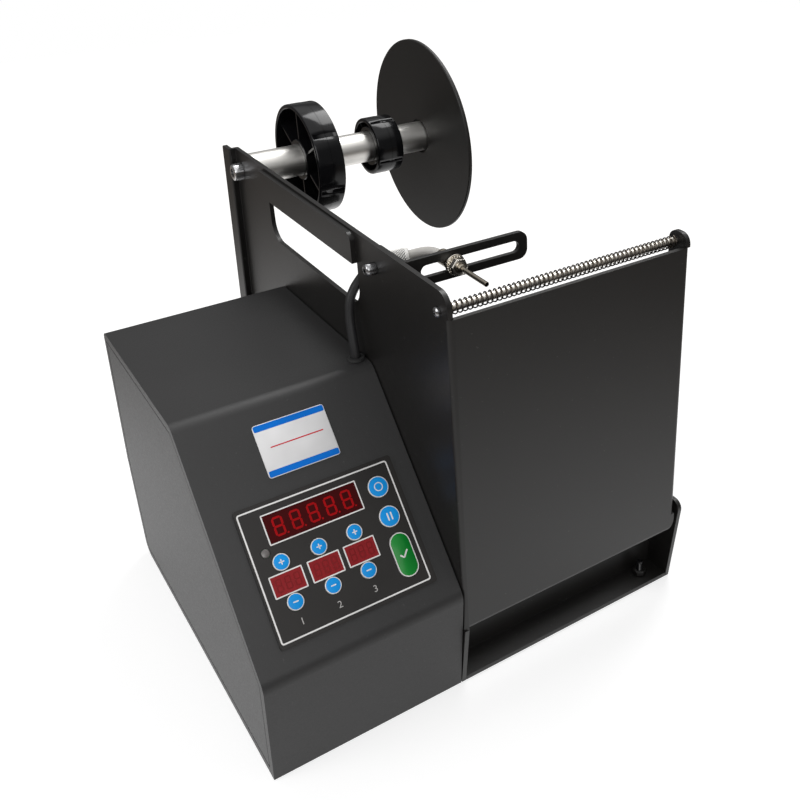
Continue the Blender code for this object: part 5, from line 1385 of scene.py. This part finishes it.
    def make_windows(self) -> None:
        """Set the four red windows, their white frames and their figures."""
        big = self.figure_eight("figure_pattern", self.digit)
        small = self.figure_eight("small_figure_pattern", self.small_digit)
        dot = Bench.turned("dot_pattern", [(0.0, self.dot_radius),
                                           (self.digit_thick, self.dot_radius)],
                           Matrix.Identity(4), 12)
        x, s, wide, high = self.counter
        self.make_window("counter", (x, s), (wide, high), COUNTER_RED,
                         [(5, wide * self.digit_pitch, big, (0.0, 0.0)),
                          (5, wide * self.digit_pitch, dot, self.dot)], DIGIT_RED)
        for name, column in zip(self.column_names, self.columns):
            self.make_window(name, (column, self.small_s), self.small_size, SMALL_RED,
                             [(3, self.small_pitch, small, (0.0, 0.0))], FAINT_RED)
        for pattern in (big, small, dot):
            bpy.data.objects.remove(pattern, do_unlink=True)

    def make_window(self, name: str, spot: Sequence[float], size: Sequence[float], red: Finish,
                    rows: Sequence[tuple[int, float, Piece, Sequence[float]]],
                    lit: Finish) -> None:
        """Set one red window, its white frame and its figures.

        Args:
            name: the window's name.
            spot: x and s of its middle.
            size: its width and height, in millimetres.
            red: the window's finish.
            rows: the count, pitch, pattern and offset of each row of figures or dots.
            lit: the figures' finish.
        """
        (x, s), (wide, high) = spot, size
        pane = Bench.plate(name + "_window", (wide - self.window_gap, high - self.window_gap),
                           self.window_thick,
                           Slope.placed(x, s, self.window_top - self.window_thick),
                           self.window_corner, 3)
        Bench.dress(pane, red, "machine", "red_display", name + "_lens")
        rim = Bench.border(name + "_window_frame", (wide + self.frame_room, high + self.frame_room),
                           self.frame_width, self.frame_thick, self.on_film(x, s),
                           self.frame_corner)
        Bench.dress(rim, PRINT_WHITE, "machine", "badge_white")
        figures = [Bench.copied(pattern, "figure", Slope.placed(
            x + (index - (count - 1) / 2.0) * pitch + right, s + up, self.window_top + self.lift))
            for count, pitch, pattern, (right, up) in rows for index in range(count)]
        Bench.dress(Bench.joined(name + "_figures", figures), lit, "machine", "red_display")

    def sign(self, name: str, bars: Sequence[Sequence[float]], place: Matrix, body: str) -> None:
        """Raise a white sign on a key from round-ended bars.

        Args:
            name: the sign's name.
            bars: x, y, length, width and turn in degrees of each bar, in millimetres.
            place: the middle of the sign.
            body: the body that carries it.
        """
        parts = []
        for x, y, long, width, turn in bars:
            spot = (place @ Matrix.Translation((x * MM, y * MM, 0.0))
                    @ Matrix.Rotation(math.radians(turn), 4, "Z"))
            parts.append(Bench.plate(name, (long, width), self.print_thick, spot,
                                     width * self.sign_tip, 2))
        Bench.dress(Bench.joined(name, parts), PRINT_WHITE, body, "badge_white")

    def make_round_keys(self) -> None:
        """Make the eight round keys: a low blue dome in a pale rim, with a sign."""
        plus = [(0.0, 0.0, 2.7, 0.55, 0.0), (0.0, 0.0, 2.7, 0.55, 90.0)]
        minus = [(0.0, 0.0, 2.7, 0.6, 0.0)]
        ring = [(math.sin(a) * 2.0, math.cos(a) * 2.0, 1.15, 0.5, -math.degrees(a))
                for a in (math.radians(30.0 * step) for step in range(12))]
        pause = [(-0.95, 0.0, 4.0, 0.75, 90.0), (0.95, 0.0, 4.0, 0.75, 90.0)]
        keys = []
        for name, column in zip(self.column_names, self.columns):
            keys.append((name + "_up_key", column, self.up_s, self.key_radius, plus))
            keys.append((name + "_down_key", column, self.down_s, self.key_radius, minus))
        keys.append(("reset_key", self.big_x, self.reset_s, self.big_radius, ring))
        keys.append(("pause_key", self.big_x, self.pause_s, self.big_radius, pause))
        low = -self.key_depth
        for name, x, s, radius, bars in keys:
            body = name + "_body"
            place = Slope.placed(x, s, self.key_top)
            cap = Bench.turned(name + "_cap", [
                (low, radius - 0.45), (-0.32, radius - 0.45), (-0.22, radius - 0.55),
                (-0.10, radius * 0.72), (-0.03, radius * 0.40), (0.0, radius * 0.12)], place,
                self.key_steps)
            Bench.dress(cap, KEY_BLUE, body, "blue_key", name)
            rim = Bench.turned(name + "_rim", [
                (low, radius), (-0.40, radius), (-0.25, radius - 0.12), (-0.20, radius - 0.30),
                (-0.25, radius - 0.44), (low, radius - 0.44)], place, self.key_steps, bore=True)
            Bench.dress(rim, PRINT_WHITE, body, "badge_white")
            self.sign(name + "_sign", bars, Slope.placed(x, s, self.key_top - self.sign_sink),
                      body)

    def make_confirm_key(self) -> None:
        """Make the oblong green key, its pale rim and a tick."""
        wide, high = self.big_radius * 2.0, self.confirm_length
        body = "confirm_key_body"
        low = Slope.placed(self.big_x, self.confirm_s, self.key_top - self.key_depth)
        cap = Bench.plate("confirm_key_cap", (wide - self.cap_gap, high - self.cap_gap),
                          self.cap_thick, low, self.big_radius - self.cap_edge, 10,
                          edge=self.cap_edge)
        Bench.dress(cap, KEY_GREEN, body, "green_key", "confirm_key")
        rim = Bench.border("confirm_key_rim", (wide, high), self.rim_width, self.rim_thick, low,
                           self.big_radius - 0.05)
        Bench.dress(rim, PRINT_WHITE, body, "badge_white")
        self.sign("confirm_key_sign",
                  [(-1.35, -0.55, 2.4, 0.8, -45.0), (0.75, 0.25, 4.4, 0.8, 50.0)],
                  Slope.placed(self.big_x, self.confirm_s, self.key_top - self.sink), body)

    def number_columns(self) -> None:
        """Print a plain figure under each column of keys."""
        for number, column in enumerate(self.columns, start=1):
            Bench.clear()
            bpy.ops.object.text_add(location=ORIGIN)
            text = bpy.context.object.data
            text.body = str(number)
            text.size = self.number_size * MM
            text.align_x = text.align_y = "CENTER"
            text.extrude = self.number_thick * MM
            bpy.ops.object.convert(target="MESH")
            figure = Bench.settle(bpy.context.object, f"column_figure_{number}")
            Bench.lay(figure, Slope.placed(column, self.number_s,
                                           self.film_top + self.number_lift))
            Bench.dress(figure, PRINT_GREY, "machine", "badge_white")


@dataclass
class RollShaft:
    """The label roll's shaft with its core wheels, guard disc and screws.

    A wheel is given by the place of its left side along the shaft, width, radius and number of
    ribs, the disc by the place of its left face, thickness and radius, the hub by radius and
    length, the counterbore by width and depth, the bolt's socket by radius, start and end, and
    its knurl by pitch in degrees and height.
    """

    y: float = 242.7
    z: float = 218.7
    tube_radius: float = 9.85
    tube_bore: float = 7.0
    tube: Sequence[float] = (2.8, 140.0)
    tube_chamfer: float = 0.4
    bored_end: float = 20.0
    gap: float = 0.3
    big_wheel: Sequence[float] = (35.7, 17.4, 35.0, 6)
    small_wheel: Sequence[float] = (84.1, 18.1, 18.4, 4)
    hub_wall: float = 3.1
    rim_wall: float = 2.6
    web_thick: float = 2.5
    rib_thick: float = 1.5
    rib_recess: float = 3.0
    rib_bite: float = 0.4
    groove_depth: float = 0.55
    groove_half: float = 2.6
    groove_turn: float = 22.5
    disc: Sequence[float] = (124.0, 2.5, 63.7)
    disc_hub: Sequence[float] = (12.5, 10.0)
    counterbore: Sequence[float] = (1.3, 1.2)
    bolt_socket: Sequence[float] = (2.9, 3.0, 9.0)
    bolt_knurl: Sequence[float] = (7.5, 0.14)

    def placed(self, x: float) -> Matrix:
        """Give the matrix of a spot on the shaft's axis, with its Z to the right."""
        return Axis.RIGHT.placed(at(x, self.y, self.z))

    def build(self) -> None:
        """Model the tube and all that it carries."""
        left, right = self.tube
        long, radius, bore, cut = right - left, self.tube_radius, self.tube_bore, self.tube_chamfer
        tube = Bench.turned("shaft_tube_satin", [
            (0.0, radius - cut), (cut, radius), (long - cut, radius), (long, radius - cut),
            (long, bore + 0.3), (long - 0.3, bore), (long - self.bored_end, bore),
            (self.bored_end, bore), (0.0, bore)], self.placed(left), 72, bore=True)
        Bench.dress(tube, TUBE_SATIN, "machine", "satin_aluminium", "shaft_tube")
        for node, sizes, body in (("big_core_wheel", self.big_wheel, "big_wheel"),
                                  ("small_core_wheel", self.small_wheel, "small_wheel")):
            wheel = self.make_wheel(node + "_moulded", *sizes)
            Bench.dress(wheel, BLACK_GLOSS, body, "black_plastic", node)
        self.make_disc()
        self.make_bolt()
        cap = Bench.turned("shaft_plug", [
            (-6.0, bore - 0.1), (0.02, bore - 0.1), (0.02, radius - 0.1), (1.2, radius - 0.1),
            (1.7, radius - 0.5), (2.0, radius - 1.2), (2.0, bore - 1.0), (1.6, bore - 1.4)],
            self.placed(right), 48)
        Bench.dress(cap, BLACK_MATT, "machine", "black_plastic", "shaft_end_cap")

    def make_wheel(self, name: str, start: float, width: float, radius: float,
                   ribs: int) -> Piece:
        """Mould a core wheel, open to the left.

        Args:
            name: the wheel's name.
            start: where its left face stands along the shaft.
            width: its width.
            radius: its outer radius.
            ribs: how many ribs join its hub and rim.

        Returns:
            The wheel with its ribs, all in one mesh.
        """
        bore, hub = self.tube_radius + self.gap, self.tube_radius + self.hub_wall
        rim = radius - self.rim_wall
        web = width - self.web_thick
        half = width * 0.54
        wheel = Bench.turned(name, [
            (width, radius - 0.9), (width - 0.5, radius - 0.25), (width - 1.1, radius - 0.12),
            (half + 0.12, radius - 0.12), (half, radius - 0.3), (half - 0.12, radius),
            (1.0, radius), (0.35, radius - 0.2), (0.0, radius - 0.8), (0.0, rim + 0.4), (0.3, rim),
            (web - 0.6, rim), (web, rim - 0.6), (web, hub + 0.6), (web - 0.6, hub), (1.9, hub),
            (1.5, hub - 0.4), (1.5, bore + 0.3), (1.8, bore), (width - 0.3, bore),
            (width, bore + 0.3)], Matrix.Identity(4), 72, bore=True)
        sector = 360.0 / ribs

        def groove(face: Face) -> bool:
            """Tell whether a face of the outer rim lies in one of its grooves.

            Args:
                face: the face.

            Returns:
                Whether it does.
            """
            turn = bearing(face) - self.groove_turn
            return (math.hypot(*face.center.xy) > (radius - 0.6) * MM
                    and 0.8 * MM < face.center.z < (width - 0.8) * MM
                    and abs((turn + sector / 2.0) % sector - sector / 2.0) < self.groove_half)

        Bench.push(wheel, groove, -self.groove_depth)
        Bench.clear()
        bpy.ops.mesh.primitive_cube_add(size=1.0)
        rib = bpy.context.object
        rib.scale = ((rim - hub + 2.0 * self.rib_bite) * MM, self.rib_thick * MM,
                     (web - self.rib_recess + self.rib_bite) * MM)
        rib.location = ((rim + hub) / 2.0 * MM, 0.0, (self.rib_recess + web) / 2.0 * MM)
        Bench.apply()
        Bench.soften(rib, 0.3)
        parts = [wheel, *(Bench.copied(rib, "rib", Matrix.Rotation(
            math.tau * (index + 0.5) / ribs, 4, "Z")) for index in range(ribs))]
        bpy.data.objects.remove(rib, do_unlink=True)
        wheel = Bench.joined(name, parts)
        Bench.pick(wheel)
        bpy.ops.object.shade_smooth_by_angle(angle=SMOOTH_ANGLE)
        return Bench.lay(wheel, self.placed(start))

    def make_disc(self) -> None:
        """Turn the guard disc with its hub, and its set screw."""
        start, thick, radius = self.disc
        hub, long = self.disc_hub
        wide, deep = self.counterbore
        bore = self.tube_radius + self.gap
        end = thick + long
        disc = Bench.turned("guard_disc_plate", [
            (0.0, bore + wide), (deep, bore + wide), (deep, bore), (end - 0.3, bore),
            (end, bore + 0.3), (end, hub - 0.5), (end - 0.5, hub), (thick + 0.4, hub),
            (thick, hub + 0.4), (thick, radius - 0.5), (thick - 0.5, radius), (0.5, radius),
            (0.0, radius - 0.5)], self.placed(start), 120, bore=True)
        Bench.dress(disc, DISC_COAT, "disc", "black_powder_coat", "guard_disc")
        low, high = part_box("set_screw")
        middle = (low + high) / 2.0
        axis = abreast(middle.x, self.y, self.z)
        screw = Bench.turned("set_screw_socket", [
            (self.tube_radius + 0.1, 1.6), (hub + 0.7, 1.6), (hub + 1.0, 1.3), (hub + 1.0, 0.85),
            (hub + 0.2, 0.8)], aimed(axis, middle - axis), 24)
        Bench.dress(screw, SPRING_STEEL, "disc", "bright_chrome", "set_screw")

    def make_bolt(self) -> None:
        """Turn the shaft bolt: a knurled socket head outside the plate."""
        bolt = Bench.turned("shaft_bolt_socket", [
            (-12.0, 3.0), (0.05, 3.0), (0.05, 4.9), (0.35, 5.0), (4.6, 5.0), (5.6, 4.85),
            (6.0, 4.2)], Matrix.Identity(4), 48)
        pitch, height = self.bolt_knurl
        Bench.push(bolt, lambda face: (abs(face.normal.z) < 0.1
                                       and math.hypot(*face.center.xy) > 4.7 * MM
                                       and round(bearing(face) / pitch - 0.5) % 2 == 0), height)
        Bench.carve(bolt, Bench.prism(*self.bolt_socket, HEXAGON))
        Bench.lay(bolt, Axis.LEFT.placed(at(-0.05, self.y, self.z)))
        Bench.dress(Bench.settle(bolt, "shaft_bolt_socket"), CHROME, "machine", "bright_chrome",
                    "shaft_bolt")


@dataclass
class SensorArm:
    """Slotted bracket with its bolt, and the slender sensor that it carries.

    The bolt's socket is given by radius, start and end, and the washer's slots by the radii
    between which they lie and their pitch in degrees.
    """

    arm_edge: float = 0.4
    bolt_y: float = 63.7
    bolt_z: float = 218.3
    sensor_x: float = 30.5
    sensor_z: float = 221.05
    arm_y: float = 40.0
    nose_reach: float = 10.7
    nose_radius: float = 1.28
    nut_flats: float = 8.0
    nut_turn: float = 0.35
    bolt_nut_bore: float = 2.55
    sensor_nut_bore: float = 2.85
    bolt_socket: Sequence[float] = (1.3, 3.8, 9.0)
    washer_slots: Sequence[float] = (4.0, 4.9)
    slot_pitch: float = 9.0

    def build(self) -> None:
        """Soften the bracket and turn what it carries."""
        Bench.carried("sensor_bracket", "slotted_arm", self.arm_edge, 3, BLACK_COAT, "bracket",
                      "black_powder_coat")
        bolt = Bench.turned("bracket_bolt_dome", [
            (-5.2, 2.5), (0.05, 2.5), (0.05, 3.1), (0.3, 3.2), (4.3, 3.15), (5.0, 2.95),
            (5.5, 2.4), (5.7, 1.8), (5.7, 1.6)], Matrix.Identity(4), 40)
        Bench.carve(bolt, Bench.prism(*self.bolt_socket, HEXAGON))
        Bench.lay(bolt, Axis.LEFT.placed(at(-0.05, self.bolt_y, self.bolt_z)))
        Bench.dress(Bench.settle(bolt, "bracket_bolt_dome"), ZINC, "machine", "bright_chrome",
                    "bracket_bolt")
        low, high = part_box("bracket_nut")
        nut = Bench.nut("bracket_nut_hexagon", self.nut_flats, (high.x - low.x) / MM,
                        self.bolt_nut_bore,
                        Axis.RIGHT.placed(abreast(low.x, self.bolt_y, self.bolt_z)))
        Bench.dress(nut, CHROME, "machine", "bright_chrome", "bracket_nut")
        self.make_sensor()

    def make_sensor(self) -> None:
        """Turn the sensor with its hollow needle nose, its nut and its slotted washer."""
        low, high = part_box("sensor_nut")
        face = (at(0, self.arm_y, 0).y - low.y) / MM
        tip, nose = self.arm_y - self.nose_reach, self.nose_radius
        body = Bench.turned("sensor_needle", [
            (-12.0, 3.3), (-11.6, 3.9), (-10.0, 4.0), (-9.6, 3.7), (-9.2, 4.0), (-3.2, 4.0),
            (-2.9, 3.8), (-2.9, 2.8), (face + 0.3, 2.8), (face + 0.5, 2.5), (face + 0.6, 2.2),
            (face + 1.9, 2.2), (face + 2.3, 1.9), (face + 2.5, nose), (tip - 0.15, nose),
            (tip, 1.15), (tip, 0.9), (tip - 6.0, 0.85)],
            Axis.FRONT.placed(at(self.sensor_x, self.arm_y, self.sensor_z)), 28)
        Bench.dress(body, NEEDLE_STEEL, "sensor", "nickel", "sensor_body")
        middle = at(self.sensor_x, 0, self.sensor_z)
        nut = Bench.nut("sensor_nut_hexagon", self.nut_flats, (high.y - low.y) / MM,
                        self.sensor_nut_bore,
                        Axis.FRONT.placed(Vector((middle.x, high.y, middle.z))), self.nut_turn)
        Bench.dress(nut, NICKEL, "sensor", "nickel", "sensor_nut")
        low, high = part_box("star_washer")
        thick = (high.y - low.y) / MM
        start, end = self.washer_slots
        star = Bench.turned("slotted_washer", [
            (0.0, 2.9), (0.0, 5.1), (0.15, 5.3), (thick - 0.2, 5.3), (thick, 5.1), (thick, end),
            (thick, start), (thick, 2.9)], Matrix.Identity(4), 40, bore=True)
        Bench.push(star, lambda face: (face.normal.z > 0.9
                                       and start < math.hypot(*face.center.xy) / MM < end
                                       and round(bearing(face) / self.slot_pitch - 0.5) % 2 == 0),
                   -0.5 * thick)
        Bench.lay(star, Axis.FRONT.placed(Vector((middle.x, high.y, middle.z))))
        Bench.dress(star, NICKEL, "sensor", "nickel", "star_washer")


@dataclass
class GuideRod:
    """Guide rod over the front plate, in its long spring.

    The coil is given by the places of its two ends, and the screw's socket by radius, start and
    end.
    """

    y: float = 2.5
    z: float = 219.4
    radius: float = 2.0
    coil: Sequence[float] = (3.75, 137.5)
    coil_radius: float = 2.9
    coil_drop: float = 0.3
    wire_radius: float = 0.37
    wire_rounding: int = 1
    turns: int = 51
    turn_steps: int = 14
    screw_socket: Sequence[float] = (1.15, 1.2, 5.0)

    def build(self) -> None:
        """Turn the rod, wind the spring and turn the screw's head."""
        low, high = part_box("guide_rod")
        long, radius = (high.x - low.x) / MM, self.radius
        rod = Bench.turned("guide_rod_nickel", [
            (0.0, radius - 0.2), (0.3, radius), (long - 0.5, radius), (long - 0.1, radius - 0.4),
            (long, radius - 0.8)], Axis.RIGHT.placed(abreast(low.x, self.y, self.z)), 32)
        Bench.dress(rod, ROD_STEEL, "machine", "nickel", "guide_rod")
        self.wind_spring()
        screw = Bench.turned("rod_screw_head", [
            (-6.0, 1.3), (0.03, 1.3), (0.03, 2.4), (0.3, 2.5), (1.3, 2.4), (1.9, 1.9),
            (2.2, 1.2)], Matrix.Identity(4), 32)
        Bench.carve(screw, Bench.prism(*self.screw_socket, HEXAGON))
        Bench.lay(screw, Axis.LEFT.placed(at(-0.02, self.y, self.z)))
        Bench.dress(Bench.settle(screw, "rod_screw_head"), ZINC, "machine", "bright_chrome",
                    "rod_screw")

    def wind_spring(self) -> None:
        """Wind the spring's wire round the rod."""
        first, last = self.coil
        points = []
        steps = self.turns * self.turn_steps
        for step in range(steps + 1):
            turn = math.tau * step / self.turn_steps
            points.append(at(first + (last - first) * step / steps,
                             self.y + self.coil_radius * math.sin(turn),
                             self.z - self.coil_drop + self.coil_radius * math.cos(turn)))
        spring = Bench.tube("guide_spring_wire", points, self.wire_radius * MM,
                            self.wire_rounding)
        Bench.dress(spring, SPRING_STEEL, "spring", "dark_spring_steel", "guide_spring")


@dataclass
class RearParts:
    """Mains inlet, fuse holder and rocker switch at the rear of the box."""

    inlet_edge: float = 0.4
    frame_edge: float = 0.3
    rocker_edge: float = 0.35

    def build(self) -> None:
        """Soften the moulded parts."""
        for node, name, body, width in (
                ("power_inlet", "inlet_housing", "machine", self.inlet_edge),
                ("switch_frame", "rocker_frame", "machine", self.frame_edge),
                ("rocker", "rocker_cap", "switch", self.rocker_edge),
                ("fuse_holder", "fuse_cap", "machine", self.inlet_edge)):
            Bench.carried(node, name, width, 2, BLACK_MATT, body, "black_plastic")


@dataclass
class HiddenParts:
    """Rollers, gears, motor and boards, whose CAD nodes are carried over, and the grommet."""

    def build(self) -> None:
        """Give the carried-over nodes their finishes."""
        for finish, *nodes in (
                (RUBBER, "drive_roller", "pinch_roller", "lead_grommet"),
                (CHROME, "drive_shaft", "pinch_axle", "fork_rod"),
                (BLACK_MATT, "roller_gear", "motor_pinion", "pinch_fork"),
                (CAN_STEEL, "feed_motor", "power_supply"),
                (BLACK_COAT, "motor_bracket"), (BOARD, "control_board")):
            Bench.repaint(finish, *nodes)


def main() -> None:
    """Build the scene in order and report each sub-assembly."""
    logging.basicConfig(level=logging.INFO, format="%(name)s: %(message)s")
    for part in (Studio(), SensorLead(), SheetFrame(), ElectronicsBox(), ControlPanel(),
                 RollShaft(), SensorArm(), GuideRod(), RearParts(), HiddenParts()):
        part.build()
        LOG.info("%s is done", type(part).__name__)
    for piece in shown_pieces():
        faces = len(piece.data.polygons) if piece.type == "MESH" else 0
        LOG.info("%s: %d faces", piece.name, faces)


if __name__ == "__main__":
    main()
